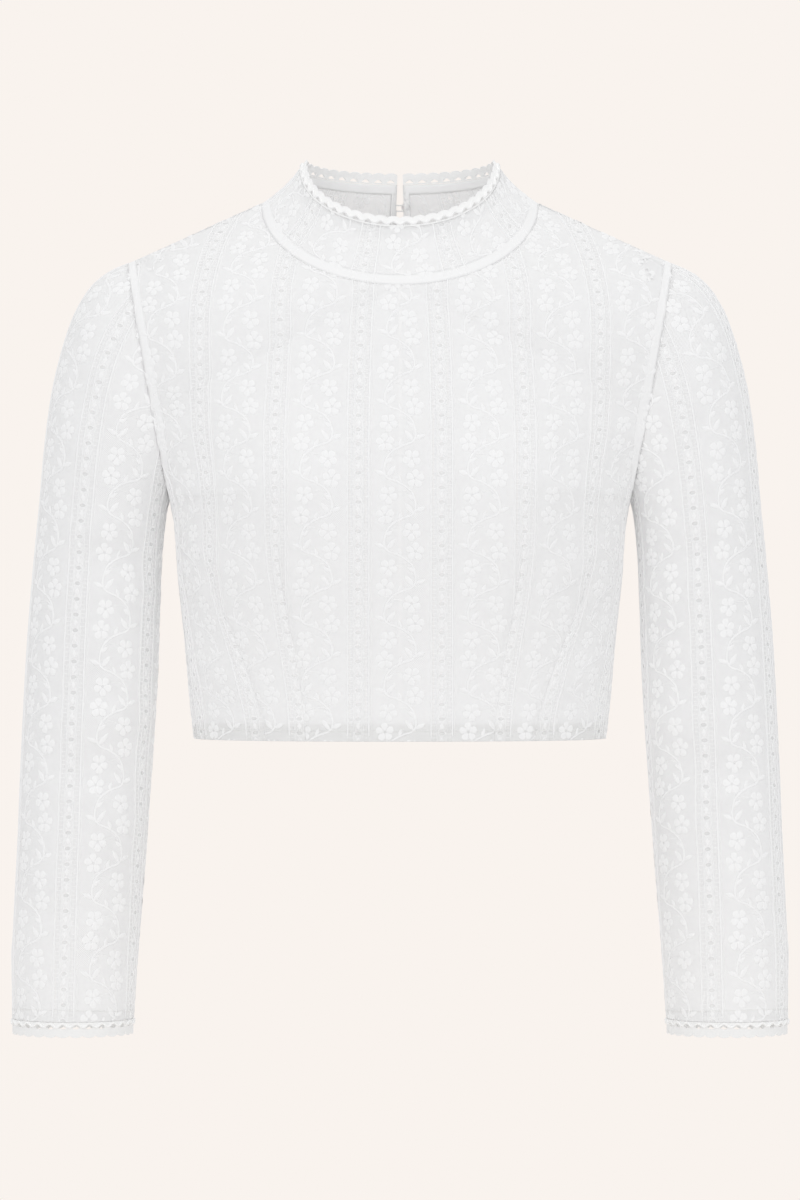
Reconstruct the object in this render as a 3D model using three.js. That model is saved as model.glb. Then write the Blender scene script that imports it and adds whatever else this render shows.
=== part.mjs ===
// A cropped lace dirndl blouse, filled out as it is worn, with nobody in it.
// Millimetres, +Z up, +X to the viewer's right, the front of the blouse towards -Y.
// The origin is where the wearer's shoulders carry it: midway between the two shoulder seams.
// "left" is the +X side and "right" the -X side. Every panel is a thin wall of cloth through a grid of
// rows and columns, and neighbouring panels share the same seam points, pulled apart by the seam gap.

import * as THREE from "three";

// Cloth and seams
const lace = { wall: 1.2, hemWall: 2.3, seamGap: 0.3 };
const tape = { wall: 1.0, clear: 0.3 };
const hem = { height: 11.8, step: 2 };

// The bodice, measured from the shoulder line
const levels = { hem: -352, armpit: -185, seamTapeDrop: 7 };
const shoulder = { neckX: 97, neckZ: 22, tipX: 190, tipZ: -20 };
const armhole = { bottomX: 161, frontDepth: 48, backDepth: 46 };
const neckline = {
  front: { depth: 86.5, centreZ: -40 },
  back: { depth: 62, centreZ: 6 },
};
const sideSeam = [
  { z: -352, halfWidth: 144 },
  { z: -325, halfWidth: 147 },
  { z: -283, halfWidth: 150.5 },
  { z: -241, halfWidth: 155 },
  { z: -205, halfWidth: 157.5 },
  { z: -185, halfWidth: 161 },
];
const centreFront = [
  { z: -352, depth: 98 },
  { z: -310, depth: 102 },
  { z: -270, depth: 107.5 },
  { z: -235, depth: 112.5 },
  { z: -205, depth: 115.8 },
  { z: -180, depth: 116.8 },
  { z: -155, depth: 115.5 },
  { z: -125, depth: 110.5 },
  { z: -90, depth: 102 },
  { z: -60, depth: 93.5 },
  { z: -40, depth: 86.5 },
];
const centreBack = [
  { z: -352, depth: 90 },
  { z: -310, depth: 88 },
  { z: -260, depth: 91 },
  { z: -210, depth: 98 },
  { z: -150, depth: 103 },
  { z: -100, depth: 100 },
  { z: -50, depth: 87 },
  { z: 6, depth: 62 },
];
// Fullness beyond the plain curve from centre to side: the bust cups, the chest above them, the shoulder blades
const fullness = [
  { side: -1, x: 86, z: -196, rise: 8, spreadX: 44, spreadUp: 50, spreadDown: 80 },
  { side: -1, x: 104, z: -145, rise: 6, spreadX: 42, spreadUp: 38, spreadDown: 38 },
  { side: 1, x: 96, z: -140, rise: 6, spreadX: 45, spreadUp: 45, spreadDown: 45 },
];
const roundness = { torso: 0.85, neckArc: 62, shoulderArc: 35 };

// Sewn darts: where they stand at the hem and at the bust, as shares of the way round from centre to side seam
const darts = {
  inner: { bust: 0.318, hem: 0.252, pinch: 0.018, depth: 1.6 },
  outer: { bust: 0.631, hem: 0.402, depth: 1.2 },
  top: -205,
  taper: 40, // how far below its top a dart takes its full depth
};

// Soft creases in the bodice: centre, half-length along the crease, its lean, its width and its height
const bodyCreases = [
  { side: -1, x: 138, z: -222, half: 34, lean: 52, width: 9, rise: 2.2 },
  { side: -1, x: 143, z: -262, half: 26, lean: 40, width: 8, rise: -1.8 },
  { side: -1, x: 130, z: -305, half: 30, lean: 62, width: 9, rise: 1.6 },
  { side: -1, x: 160, z: -128, half: 30, lean: -72, width: 9, rise: -2.0 },
  { side: 1, x: 120, z: -140, half: 42, lean: -64, width: 11, rise: 2.4 },
  { side: 1, x: 132, z: -228, half: 36, lean: 48, width: 10, rise: 2.2 },
  { side: 1, x: 70, z: -318, half: 32, lean: 12, width: 10, rise: -1.8 },
];

// The sleeve, section by section, from the armhole to the cuff
const sleeveSections = [
  { inX: 161, inZ: -185, outX: 190, outZ: -20, midY: 0, depth: 47 },
  { inX: 162.5, inZ: -190, outX: 203, outZ: -25.5, midY: 0, depth: 49 },
  { inX: 163.5, inZ: -196, outX: 216, outZ: -36, midY: 0, depth: 50 },
  { inX: 164.5, inZ: -203, outX: 227.5, outZ: -55, midY: -1, depth: 49.5 },
  { inX: 165.5, inZ: -213, outX: 236, outZ: -79, midY: -1, depth: 48.5 },
  { inX: 166.5, inZ: -226, outX: 243, outZ: -108, midY: -2, depth: 47.5 },
  { inX: 167.3, inZ: -243, outX: 248.3, outZ: -145, midY: -2, depth: 46.5 },
  { inX: 168, inZ: -265, outX: 252, outZ: -187, midY: -3, depth: 45.5 },
  { inX: 168.7, inZ: -292, outX: 256.5, outZ: -234, midY: -4, depth: 45 },
  { inX: 170, inZ: -322, outX: 260.5, outZ: -285, midY: -5.5, depth: 44.5 },
  { inX: 172, inZ: -355, outX: 263, outZ: -332, midY: -7.5, depth: 44 },
  { inX: 174.5, inZ: -392, outX: 265, outZ: -378, midY: -10, depth: 43.5 },
  { inX: 177, inZ: -430, outX: 266.5, outZ: -422, midY: -13, depth: 43 },
  { inX: 180, inZ: -470, outX: 268.5, outZ: -466, midY: -16.5, depth: 42 },
  { inX: 183, inZ: -510, outX: 270, outZ: -508.5, midY: -20, depth: 41 },
  { inX: 184.6, inZ: -536.5, outX: 269.6, outZ: -536.5, midY: -22.5, depth: 40 },
  { inX: 184.7, inZ: -538.5, outX: 269.6, outZ: -538.5, midY: -22.7, depth: 40 },
  { inX: 185.3, inZ: -546, outX: 269.5, outZ: -546, midY: -23.2, depth: 40 },
];
// Soft creases round the elbow: how far down, where round the sleeve in degrees from the armpit, and their size
const sleeveRadius = 45;
const sleeveCreases = [
  { z: -226, around: 70, half: 30, width: 13, rise: -2.4 },
  { z: -338, around: 60, half: 34, width: 14, rise: 2.0 },
  { z: -372, around: 82, half: 30, width: 13, rise: -2.2 },
  { z: -408, around: 55, half: 26, width: 13, rise: 1.8 },
  { z: -350, around: 290, half: 34, width: 15, rise: -2.0 },
  { z: -450, around: 250, half: 30, width: 15, rise: 1.8 },
];

// The stand collar, from its seam with the bodice to its top edge
const collar = {
  front: { depth: 63, centreZ: 1 },
  back: { depth: 52, centreZ: 39 },
  sideX: 70.5,
  sideZ: 46.5,
  waist: 2.5, // how far the stand bows inwards half-way up
  rows: [0, 0.18, 0.5, 0.8, 1],
  halfGaps: [1, 1.9, 2.6, 2.2, 1.9], // half the gap at the centre back, row by row: it gapes between buttons
};
const backOpening = { halfGap: 1 };

// Scalloped edging: a foot, a row of half-moon slots, and a waved edge
const edging = { repeat: 9.3, slot: 5.6, wall: 1.0, foot: 1.0, slotLow: 2.4, slotHigh: 3.1 };
// overShoulder: how much higher it stands where the collar's edge bends over the shoulder
const collarEdging = { trough: 6.2, crest: 7.8, overShoulder: 0.5 };
const cuffEdging = { trough: 8.6, crest: 10.2 };

// Closing at the centre back
const buttonRow = {
  bodice: [-15, -75, -135, -195, -255, -315],
  collarShare: 0.5,
  shareStep: 0.1, // the cloth's way up is measured over these steps
  heightStep: 4,
};
const button = { radius: 4.6, thick: 2.4, underside: 2.1, shank: 1.25, inset: 5.5, sides: 10 };
// The dome from its rim to its top, as shares of the radius and the thickness
const dome = [
  { radius: 0.86, height: 0.06 },
  { radius: 1, height: 0.42 },
  { radius: 0.8, height: 0.84 },
  { radius: 0.42, height: 1 },
];
const loop = { cord: 0.6, bend: 2.1, tail: 6.5, tailBend: 1.9, lift: 1.1, steps: 12, tension: 0.3 };

// Grid of the bodice: rows from hem to shoulder, columns from centre to side. Between the darts, the
// columns stand at these shares of the way from one dart to the next.
const armpitRow = 10;
const necklineRow = armpitRow + 5;
const shoulderRow = necklineRow + 7;
const columnPlan = {
  beforeInner: [0, 0.3, 0.64],
  innerToOuter: [0.37, 0.68],
  outerToTape: [0.33, 0.67],
  tapeEdge: 0.962,
};
const column = { innerDart: 4, outerDart: 8, tapeEdge: 11, side: 12 };

const colours = {
  lace: 0xf0f0f0,
  tape: 0xf7f7f7,
  edging: 0xf5f5f4,
  button: 0xf4f2ec,
};

const lerp = (a, b, s) => a + (b - a) * s;
const clamp01 = (s) => Math.min(1, Math.max(0, s));
const smooth = (s) => clamp01(s) ** 2 * (3 - 2 * clamp01(s));
const radians = (degrees) => (degrees * Math.PI) / 180;
const v3 = (x, y, z) => new THREE.Vector3(x, y, z);

// Smooth curve through one column of a table whose rows rise in z
function through(table, column) {
  const slopes = table.map((row, i) => {
    const before = table[Math.max(0, i - 1)];
    const after = table[Math.min(table.length - 1, i + 1)];
    return (after[column] - before[column]) / (after.z - before.z);
  });
  return (z) => {
    let i = table.findIndex((row) => row.z >= z);
    if (i < 0) i = table.length - 1;
    i = Math.max(1, i);
    const low = table[i - 1];
    const high = table[i];
    const span = high.z - low.z;
    const s = clamp01((z - low.z) / span);
    const [s2, s3] = [s * s, s * s * s];
    return (
      (2 * s3 - 3 * s2 + 1) * low[column] +
      (s3 - 2 * s2 + s) * span * slopes[i - 1] +
      (3 * s2 - 2 * s3) * high[column] +
      (s3 - s2) * span * slopes[i]
    );
  };
}
const halfWidthAt = through(sideSeam, "halfWidth");
const frontDepthAt = through(centreFront, "depth");
const backDepthAt = through(centreBack, "depth");

// Height of a row at the centre, up to the neckline
function rowHeight(side, row) {
  const top = side < 0 ? neckline.front.centreZ : neckline.back.centreZ;
  if (row > armpitRow)
    return lerp(levels.armpit, top, (row - armpitRow) / (necklineRow - armpitRow));
  if (row === armpitRow) return levels.armpit;
  if (row === 0) return levels.hem;
  const foldTop = levels.hem + hem.height;
  if (row === 1) return foldTop;
  const low = foldTop + hem.step;
  const high = levels.armpit - levels.seamTapeDrop;
  return lerp(low, high, (row - 2) / (armpitRow - 3));
}

// A row's end at the centre line, or on the neckline above it
function innerEnd(side, row) {
  const neck = side < 0 ? neckline.front : neckline.back;
  if (row <= necklineRow) {
    const z = rowHeight(side, row);
    return v3(0, side * (side < 0 ? frontDepthAt(z) : backDepthAt(z)), z);
  }
  const turn = ((row - necklineRow) / (shoulderRow - necklineRow)) * (Math.PI / 2);
  return v3(
    shoulder.neckX * Math.sin(turn),
    side * neck.depth * Math.cos(turn),
    lerp(neck.centreZ, shoulder.neckZ, 1 - Math.cos(turn)),
  );
}

// A point of the armhole: 0 at the armpit, 180 degrees at the shoulder tip
function armholePoint(side, turn) {
  const depth = side < 0 ? armhole.frontDepth : armhole.backDepth;
  const share = (1 - Math.cos(turn)) / 2;
  return v3(
    lerp(armhole.bottomX, shoulder.tipX, share),
    side * depth * Math.sin(turn),
    lerp(levels.armpit, shoulder.tipZ, share),
  );
}
const armholeTurn = (row) => (Math.PI * (row - armpitRow)) / (shoulderRow - armpitRow);

// A row's end on the side seam, or on the armhole above it
function outerEnd(side, row) {
  if (row > armpitRow) return armholePoint(side, armholeTurn(row));
  const z = rowHeight(side, row);
  return v3(halfWidthAt(z), 0, z);
}

// How far round from centre to side each column stands. The dart columns lean in towards the hem.
function columnShare(row, col) {
  const rise = smooth((rowHeight(-1, Math.min(row, armpitRow)) - levels.hem) / (darts.top - levels.hem));
  const inner = lerp(darts.inner.hem, darts.inner.bust, rise);
  const outer = lerp(darts.outer.hem, darts.outer.bust, rise);
  const { beforeInner, innerToOuter, outerToTape, tapeEdge } = columnPlan;
  const shares = [
    ...beforeInner.map((share) => inner * share),
    inner - darts.inner.pinch,
    inner,
    inner + darts.inner.pinch,
    ...innerToOuter.map((share) => lerp(inner, outer, share)),
    outer,
    ...outerToTape.map((share) => lerp(outer, tapeEdge, share)),
    tapeEdge,
    1,
  ];
  return shares[col];
}

// Rise of a soft ridge or trough at a distance along and across it
const ridge = (along, across, half, width, rise) =>
  rise * Math.exp(-((along / half) ** 4)) * Math.exp(-((across / width) ** 2));

// A point of the bodice's outer face, on the +X half
function bodyPoint(side, row, col) {
  const inner = innerEnd(side, row);
  const outer = outerEnd(side, row);
  const above = smooth((row - armpitRow) / (necklineRow - armpitRow));
  const top = smooth((row - necklineRow) / (shoulderRow - necklineRow));
  const arc = radians(lerp(lerp(90, roundness.neckArc, above), roundness.shoulderArc, top));
  const power = lerp(roundness.torso, 1, above);
  const share = columnShare(row, col);
  const out = (Math.sin(arc * share) / Math.sin(arc)) ** power;
  const back = Math.max(0, (Math.cos(arc * share) - Math.cos(arc)) / (1 - Math.cos(arc))) ** power;
  const point = v3(
    lerp(inner.x, outer.x, out),
    lerp(outer.y, inner.y, back),
    lerp(inner.z, outer.z, out),
  );
  if (col === column.side || row === shoulderRow) return point;
  const { x, z } = point;
  for (const full of fullness) {
    if (full.side !== side) continue;
    const spread = z > full.z ? full.spreadUp : full.spreadDown;
    const away = ((x - full.x) / full.spreadX) ** 2 + ((z - full.z) / spread) ** 2;
    point.y += side * full.rise * Math.exp(-away);
  }
  for (const crease of bodyCreases) {
    if (crease.side !== side) continue;
    const lean = radians(crease.lean);
    const [dx, dz] = [x - crease.x, z - crease.z];
    const along = dx * Math.sin(lean) + dz * Math.cos(lean);
    const across = dx * Math.cos(lean) - dz * Math.sin(lean);
    point.y += side * ridge(along, across, crease.half, crease.width, crease.rise);
  }
  const sewn = smooth((darts.top - z) / darts.taper);
  if (col === column.innerDart) point.y -= side * darts.inner.depth * sewn;
  if (col === column.outerDart) point.y -= side * darts.outer.depth * sewn;
  return point;
}

// A point of the collar: quarter turns run from the centre line to the shoulder
function collarPoint(side, step, share) {
  const turn = (step / (shoulderRow - necklineRow)) * (Math.PI / 2);
  const base = innerEnd(side, necklineRow + step);
  const rim = side < 0 ? collar.front : collar.back;
  const top = v3(
    collar.sideX * Math.sin(turn),
    side * rim.depth * Math.cos(turn),
    lerp(rim.centreZ, collar.sideZ, 1 - Math.cos(turn)),
  );
  const bow = collar.waist * 4 * share * (1 - share);
  const towardsAxis = v3(base.x, base.y, 0).normalize();
  return base.lerp(top, share).addScaledVector(towardsAxis, -bow);
}

// A point of the sleeve's outer face, on the +X side: steps run round from the armpit by the front
const sleeveSteps = 2 * (shoulderRow - armpitRow);
function sleevePoint(section, step) {
  const at = sleeveSections[section];
  const turn = (2 * Math.PI * step) / sleeveSteps;
  const share = (1 - Math.cos(turn)) / 2;
  if (section === 0) {
    const front = step <= sleeveSteps / 2;
    return armholePoint(front ? -1 : 1, front ? turn : 2 * Math.PI - turn);
  }
  const point = v3(
    lerp(at.inX, at.outX, share),
    at.midY - at.depth * Math.sin(turn),
    lerp(at.inZ, at.outZ, share),
  );
  const middle = v3((at.inX + at.outX) / 2, at.midY, point.z);
  const outwards = point.clone().sub(middle).normalize();
  const { z } = point;
  for (const crease of sleeveCreases) {
    const away = (((step / sleeveSteps) * 360 - crease.around + 540) % 360) - 180;
    const along = radians(away) * sleeveRadius;
    point.addScaledVector(outwards, ridge(along, z - crease.z, crease.half, crease.width, crease.rise));
  }
  return point;
}

// Direction out of the cloth at a grid point, from its neighbours
function outOf(pointAt, row, column, lastRow, lastCol, wraps = false) {
  const near = (c) => (wraps ? (c + lastCol) % lastCol : Math.min(lastCol, Math.max(0, c)));
  const across = pointAt(row, near(column + 1)).sub(pointAt(row, near(column - 1)));
  const up = pointAt(Math.min(lastRow, row + 1), column).sub(pointAt(Math.max(0, row - 1), column));
  return across.cross(up).normalize();
}

// Way out of the cloth along the armhole: square to the seam, in the seam's own plane
function armholeOut(side, turn) {
  const middle = v3((armhole.bottomX + shoulder.tipX) / 2, 0, (levels.armpit + shoulder.tipZ) / 2);
  const point = armholePoint(side, turn);
  return point.sub(middle).normalize();
}
const armholeAcross = v3(shoulder.tipZ - levels.armpit, 0, -(shoulder.tipX - armhole.bottomX)).normalize();

const collarOut = (side, step, share) => {
  const last = shoulderRow - necklineRow;
  const level = collar.rows.indexOf(share);
  const at = (r, c) => collarPoint(side, c, collar.rows[r]);
  const out = outOf(at, level, step, collar.rows.length - 1, last).multiplyScalar(-side);
  if (step === 0) out.x = 0;
  if (step === last) out.y = 0;
  return out.normalize();
};

function bodyOut(side, row, col) {
  if (col === column.side && row > armpitRow) return armholeOut(side, armholeTurn(row));
  if (col === column.side && row === armpitRow) return v3(0, 0, -1);
  const at = (r, c) => bodyPoint(side, r, c);
  const out = outOf(at, row, col, shoulderRow, column.side).multiplyScalar(-side);
  if (col === 0 && row <= necklineRow) out.x = 0;
  if (col === column.side || row === shoulderRow) out.y = 0;
  if (col === 0 && row >= necklineRow) out.normalize().add(collarOut(side, row - necklineRow, 0));
  return out.normalize();
}

function sleeveOut(section, step) {
  const turn = (2 * Math.PI * step) / sleeveSteps;
  const front = step <= sleeveSteps / 2;
  if (section === 0) return armholeOut(front ? -1 : 1, front ? turn : 2 * Math.PI - turn);
  return outOf(sleevePoint, section, step, sleeveSections.length - 1, sleeveSteps, true).negate();
}

// A closed wall of cloth over quads of named corners. corner(key) gives its point, the way out of the
// cloth, and how far in from there the outer and inner faces lie. Open edges get a strip of their own.
function wall(quads, corner) {
  const index = new Map();
  const positions = [];
  const indexOf = (key) => {
    if (!index.has(key)) {
      const { point, out, from, to } = corner(key);
      index.set(key, positions.length / 3);
      positions.push(...point.clone().addScaledVector(out, -from).toArray());
      positions.push(...point.clone().addScaledVector(out, -to).toArray());
    }
    return index.get(key);
  };
  const triangles = [];
  const directed = new Set(quads.flatMap((q) => q.map((key, i) => `${key}>${q[(i + 1) % 4]}`)));
  for (const quad of quads) {
    const [a, b, c, d] = quad.map(indexOf);
    triangles.push(a, b, c, a, c, d);
    triangles.push(a + 1, c + 1, b + 1, a + 1, d + 1, c + 1);
    quad.forEach((key, i) => {
      const next = quad[(i + 1) % 4];
      if (directed.has(`${next}>${key}`)) return;
      const [p, q] = [indexOf(key), indexOf(next)];
      triangles.push(q, p, p + 1, q, p + 1, q + 1);
    });
  }
  const geometry = new THREE.BufferGeometry();
  geometry.setAttribute("position", new THREE.Float32BufferAttribute(positions, 3));
  geometry.setIndex(triangles);
  return geometry;
}

// A corner's name is its numbers in the grid, parted by commas
const numbersOf = (key) => key.split(",").map(Number);
// Corners in order round a cell, seen from outside; the other hand's turn the other way
const cell = (a, b, c, d, flipped) => (flipped ? [a, d, c, b] : [a, b, c, d]);
const handed = (vector, hand) => v3(vector.x * hand, vector.y, vector.z);

const group = new THREE.Group();
function add(name, geometry, colour, roughness = 0.9) {
  const material = new THREE.MeshStandardMaterial({ color: colour, roughness, metalness: 0 });
  const mesh = new THREE.Mesh(geometry, material);
  mesh.name = name;
  geometry.computeVertexNormals();
  group.add(mesh);
}

// Bodice corner: the shared seam point, pulled back by half the seam gap on the edges it is sewn along
function bodyCorner(side, hand, row, col) {
  const point = bodyPoint(side, row, col);
  const out = bodyOut(side, row, col);
  const back = lace.seamGap / 2;
  if (row === shoulderRow || (col === column.side && row <= armpitRow)) point.y += side * back;
  if (col === column.side && row >= armpitRow) point.addScaledVector(armholeAcross, -back);
  if (col === 0 && row >= necklineRow) {
    const upwards = collarPoint(side, row - necklineRow, collar.rows[1]).sub(point).normalize();
    point.addScaledVector(upwards, -back);
  }
  if (side > 0 && col === 0 && row <= necklineRow) point.x += backOpening.halfGap;
  const folded = row <= 1;
  return { point: handed(point, hand), out: handed(out, hand), from: 0, to: folded ? lace.hemWall : lace.wall };
}

function bodyQuads(side, hand, keyOf) {
  const quads = [];
  for (let row = 0; row < shoulderRow; row++)
    for (let col = 0; col < column.side; col++)
      quads.push(
        cell(keyOf(row, col), keyOf(row, col + 1), keyOf(row + 1, col + 1), keyOf(row + 1, col), hand * side > 0),
      );
  return quads;
}

function buildFront() {
  const keyOf = (hand) => (row, col) => {
    const shared = col === 0 && row <= necklineRow;
    return `${row},${col},${shared ? 1 : hand}`;
  };
  const quads = [1, -1].flatMap((hand) => bodyQuads(-1, hand, keyOf(hand)));
  const geometry = wall(quads, (key) => {
    const [row, col, hand] = numbersOf(key);
    return bodyCorner(-1, hand, row, col);
  });
  add("front", geometry, colours.lace);
}

function buildBack(name, hand) {
  const quads = bodyQuads(1, hand, (row, col) => `${row},${col}`);
  const geometry = wall(quads, (key) => {
    const [row, col] = numbersOf(key);
    return bodyCorner(1, hand, row, col);
  });
  add(name, geometry, colours.lace);
}

function buildSleeve(name, hand) {
  const quads = [];
  const lastSection = sleeveSections.length - 1;
  for (let section = 0; section < lastSection; section++)
    for (let step = 0; step < sleeveSteps; step++) {
      const next = (step + 1) % sleeveSteps;
      const below = section + 1;
      const corners = [`${section},${step}`, `${below},${step}`, `${below},${next}`, `${section},${next}`];
      quads.push(cell(...corners, hand < 0));
    }
  const geometry = wall(quads, (key) => {
    const [section, step] = numbersOf(key);
    const point = sleevePoint(section, step);
    if (section === 0) point.addScaledVector(armholeAcross, lace.seamGap / 2);
    const to = section >= lastSection - 1 ? lace.hemWall : lace.wall; // the hem is folded in
    return { point: handed(point, hand), out: handed(sleeveOut(section, step), hand), from: 0, to };
  });
  add(name, geometry, colours.lace);
}

// Binding over the armhole seam, inside: the bodice's edge cells moved in
function buildArmholeTape(name, hand) {
  const quads = [];
  const key = (side, row, col) => {
    const onSeam = row === shoulderRow || (col === column.side && row <= armpitRow);
    return `${onSeam ? 1 : side},${row},${col}`;
  };
  const [edge, seam] = [column.tapeEdge, column.side];
  for (const side of [-1, 1])
    for (let row = armpitRow - 1; row < shoulderRow; row++) {
      const [low, high] = [row, row + 1];
      const corners = [key(side, low, edge), key(side, low, seam), key(side, high, seam), key(side, high, edge)];
      quads.push(cell(...corners, hand * side > 0));
    }
  const from = lace.wall + tape.clear;
  const to = from + tape.wall;
  const geometry = wall(quads, (corner) => {
    const [side, row, col] = numbersOf(corner);
    const point = bodyPoint(side, row, col);
    if (col === seam && row >= armpitRow) point.addScaledVector(armholeAcross, -lace.seamGap / 2);
    return { point: handed(point, hand), out: handed(bodyOut(side, row, col), hand), from, to };
  });
  add(name, geometry, colours.tape);
}

// Places round the neck: from the centre back on the left, by the front, to the centre back on the right
const quarter = shoulderRow - necklineRow;
const neckPlaces = [];
for (let step = 0; step <= quarter; step++) neckPlaces.push({ side: 1, hand: 1, step });
for (let step = quarter - 1; step >= 0; step--) neckPlaces.push({ side: -1, hand: 1, step });
for (let step = 1; step <= quarter; step++) neckPlaces.push({ side: -1, hand: -1, step });
for (let step = quarter - 1; step >= 0; step--) neckPlaces.push({ side: 1, hand: -1, step });

// Where the collar stands at a place and a share of its height, with its ends pulled off the centre back
function collarAt(place, level) {
  const { side, hand, step } = neckPlaces[place];
  const share = collar.rows[level];
  const point = collarPoint(side, step, share);
  if (side > 0 && step === 0) point.x += collar.halfGaps[level];
  const out = collarOut(side, step, share);
  if (level === 0) out.add(bodyOut(side, necklineRow + step, 0)).normalize();
  return { point: handed(point, hand), out: handed(out, hand) };
}

function neckStrip(name, levelsUsed, from, to, colour) {
  const quads = [];
  for (let i = 0; i < levelsUsed.length - 1; i++)
    for (let place = 0; place < neckPlaces.length - 1; place++)
      quads.push([
        `${place},${levelsUsed[i]}`,
        `${place},${levelsUsed[i + 1]}`,
        `${place + 1},${levelsUsed[i + 1]}`,
        `${place + 1},${levelsUsed[i]}`,
      ]);
  const geometry = wall(quads, (key) => {
    const [place, level] = numbersOf(key);
    const { point, out } = collarAt(place, level);
    if (level === 0) {
      const upwards = collarAt(place, 1).point.sub(point).normalize();
      point.addScaledVector(upwards, lace.seamGap / 2);
    }
    return { point, out, from, to };
  });
  add(name, geometry, colour);
}

// Scalloped edging along a path. edge(s) gives the point, the way out of the cloth and the way up the edging
// at a length s along it; each repeat is a bridge and a slot, with the crest over the slot.
function edgingStrip(name, edge, length, repeats, heights) {
  const pitch = length / repeats;
  const bridge = pitch - edging.slot;
  const stops = [0, bridge, bridge + edging.slot / 2];
  const key = (repeat, stop, row) => (stop < stops.length ? `${repeat},${stop},${row}` : `${repeat + 1},0,${row}`);
  const quads = [];
  for (let r = 0; r < repeats; r++) {
    const band = (a, b, low, high) =>
      quads.push([key(r, a, low), key(r, b, low), key(r, b, high), key(r, a, high)]);
    band(0, 1, 0, 1);
    band(1, 3, 0, 1);
    band(0, 1, 1, 2);
    band(0, 1, 2, 3);
    band(1, 2, 2, 3);
    band(2, 3, 2, 3);
  }
  const heightOf = (stop, row) => {
    const overSlot = stop === 2;
    if (row === 0) return 0;
    if (row === 1) return edging.foot;
    if (row === 2) return overSlot ? edging.slotHigh : edging.slotLow;
    return overSlot ? heights.crest : heights.trough;
  };
  const geometry = wall(quads, (corner) => {
    const [repeat, stop, row] = numbersOf(corner);
    const { point, out, up } = edge(repeat * pitch + stops[stop]);
    point.addScaledVector(up, lace.seamGap + heightOf(stop, row));
    return { point, out, from: 0, to: edging.wall };
  });
  add(name, geometry, colours.edging);
}

// A path through points that carry their own directions, read by length along it
function pathOf(stations) {
  const lengths = [0];
  for (let i = 1; i < stations.length; i++)
    lengths.push(lengths[i - 1] + stations[i].point.distanceTo(stations[i - 1].point));
  const at = (s) => {
    let i = lengths.findIndex((length) => length >= s);
    if (i < 0) i = lengths.length - 1;
    i = Math.max(1, i);
    const share = (s - lengths[i - 1]) / (lengths[i] - lengths[i - 1]);
    const blend = (name) => stations[i - 1][name].clone().lerp(stations[i][name], share);
    return { point: blend("point"), out: blend("out").normalize(), up: blend("up").normalize() };
  };
  return { at, length: lengths.at(-1) };
}

function buildCollarEdging() {
  const top = collar.rows.length - 1;
  const stations = neckPlaces.map(({ step }, place) => {
    const { point, out } = collarAt(place, top);
    const up = point.clone().sub(collarAt(place, top - 1).point).normalize();
    if (step === quarter) point.addScaledVector(up, collarEdging.overShoulder);
    return { point, out, up };
  });
  const half = (neckPlaces.length - 1) / 2;
  for (const [name, part] of [
    ["collar_edging_left", stations.slice(0, half + 1)],
    ["collar_edging_right", stations.slice(half)],
  ]) {
    const path = pathOf(part);
    const usable = path.length - lace.seamGap;
    const start = lace.seamGap / 2;
    const edge = (s) => path.at(start + usable - s);
    edgingStrip(name, edge, usable, Math.round(usable / edging.repeat), collarEdging);
  }
}

function buildCuffEdging(name, hand, front) {
  const last = sleeveSections.length - 1;
  const stations = [];
  const half = sleeveSteps / 2;
  for (let step = 0; step <= half; step++) {
    const round = (front ? step : step + half) % sleeveSteps;
    const point = handed(sleevePoint(last, round), hand);
    stations.push({ point, out: handed(sleeveOut(last, round), hand), up: v3(0, 0, -1) });
  }
  const path = pathOf(stations);
  const usable = path.length - lace.seamGap;
  const start = lace.seamGap / 2;
  const edge = (s) => path.at(start + (hand < 0 ? s : usable - s));
  edgingStrip(name, edge, usable, Math.round(usable / edging.repeat), cuffEdging);
}

// Places on the back's outer face, at the opening, with the way up the cloth there
function closingPlaces() {
  const { collarShare, shareStep, heightStep } = buttonRow;
  const [low, middle, high] = [-shareStep, 0, shareStep].map((step) => collarPoint(1, 0, collarShare + step));
  const onBodice = buttonRow.bodice.map((z) => {
    const rise = backDepthAt(z + heightStep) - backDepthAt(z - heightStep);
    return { point: v3(0, backDepthAt(z), z), up: v3(0, rise, 2 * heightStep).normalize() };
  });
  const onCollar = { point: middle, up: high.sub(low).normalize() };
  return [onCollar, ...onBodice];
}

// A small domed button on a shank, clear of the cloth by the seam gap
function buildButton(name, point, out, up) {
  const foot = -button.underside + lace.seamGap;
  const profile = [
    new THREE.Vector2(0, foot),
    new THREE.Vector2(button.shank, foot),
    new THREE.Vector2(button.shank, 0),
    ...dome.map(({ radius, height }) => new THREE.Vector2(radius * button.radius, height * button.thick)),
    new THREE.Vector2(0, button.thick),
  ];
  const geometry = new THREE.LatheGeometry(profile, button.sides);
  geometry.applyMatrix4(new THREE.Matrix4().makeBasis(v3(1, 0, 0), out, up));
  const seat = point.clone().addScaledVector(out, button.underside);
  geometry.translate(seat.x + button.inset, seat.y, seat.z);
  add(name, geometry, colours.button, 0.35);
}

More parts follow.
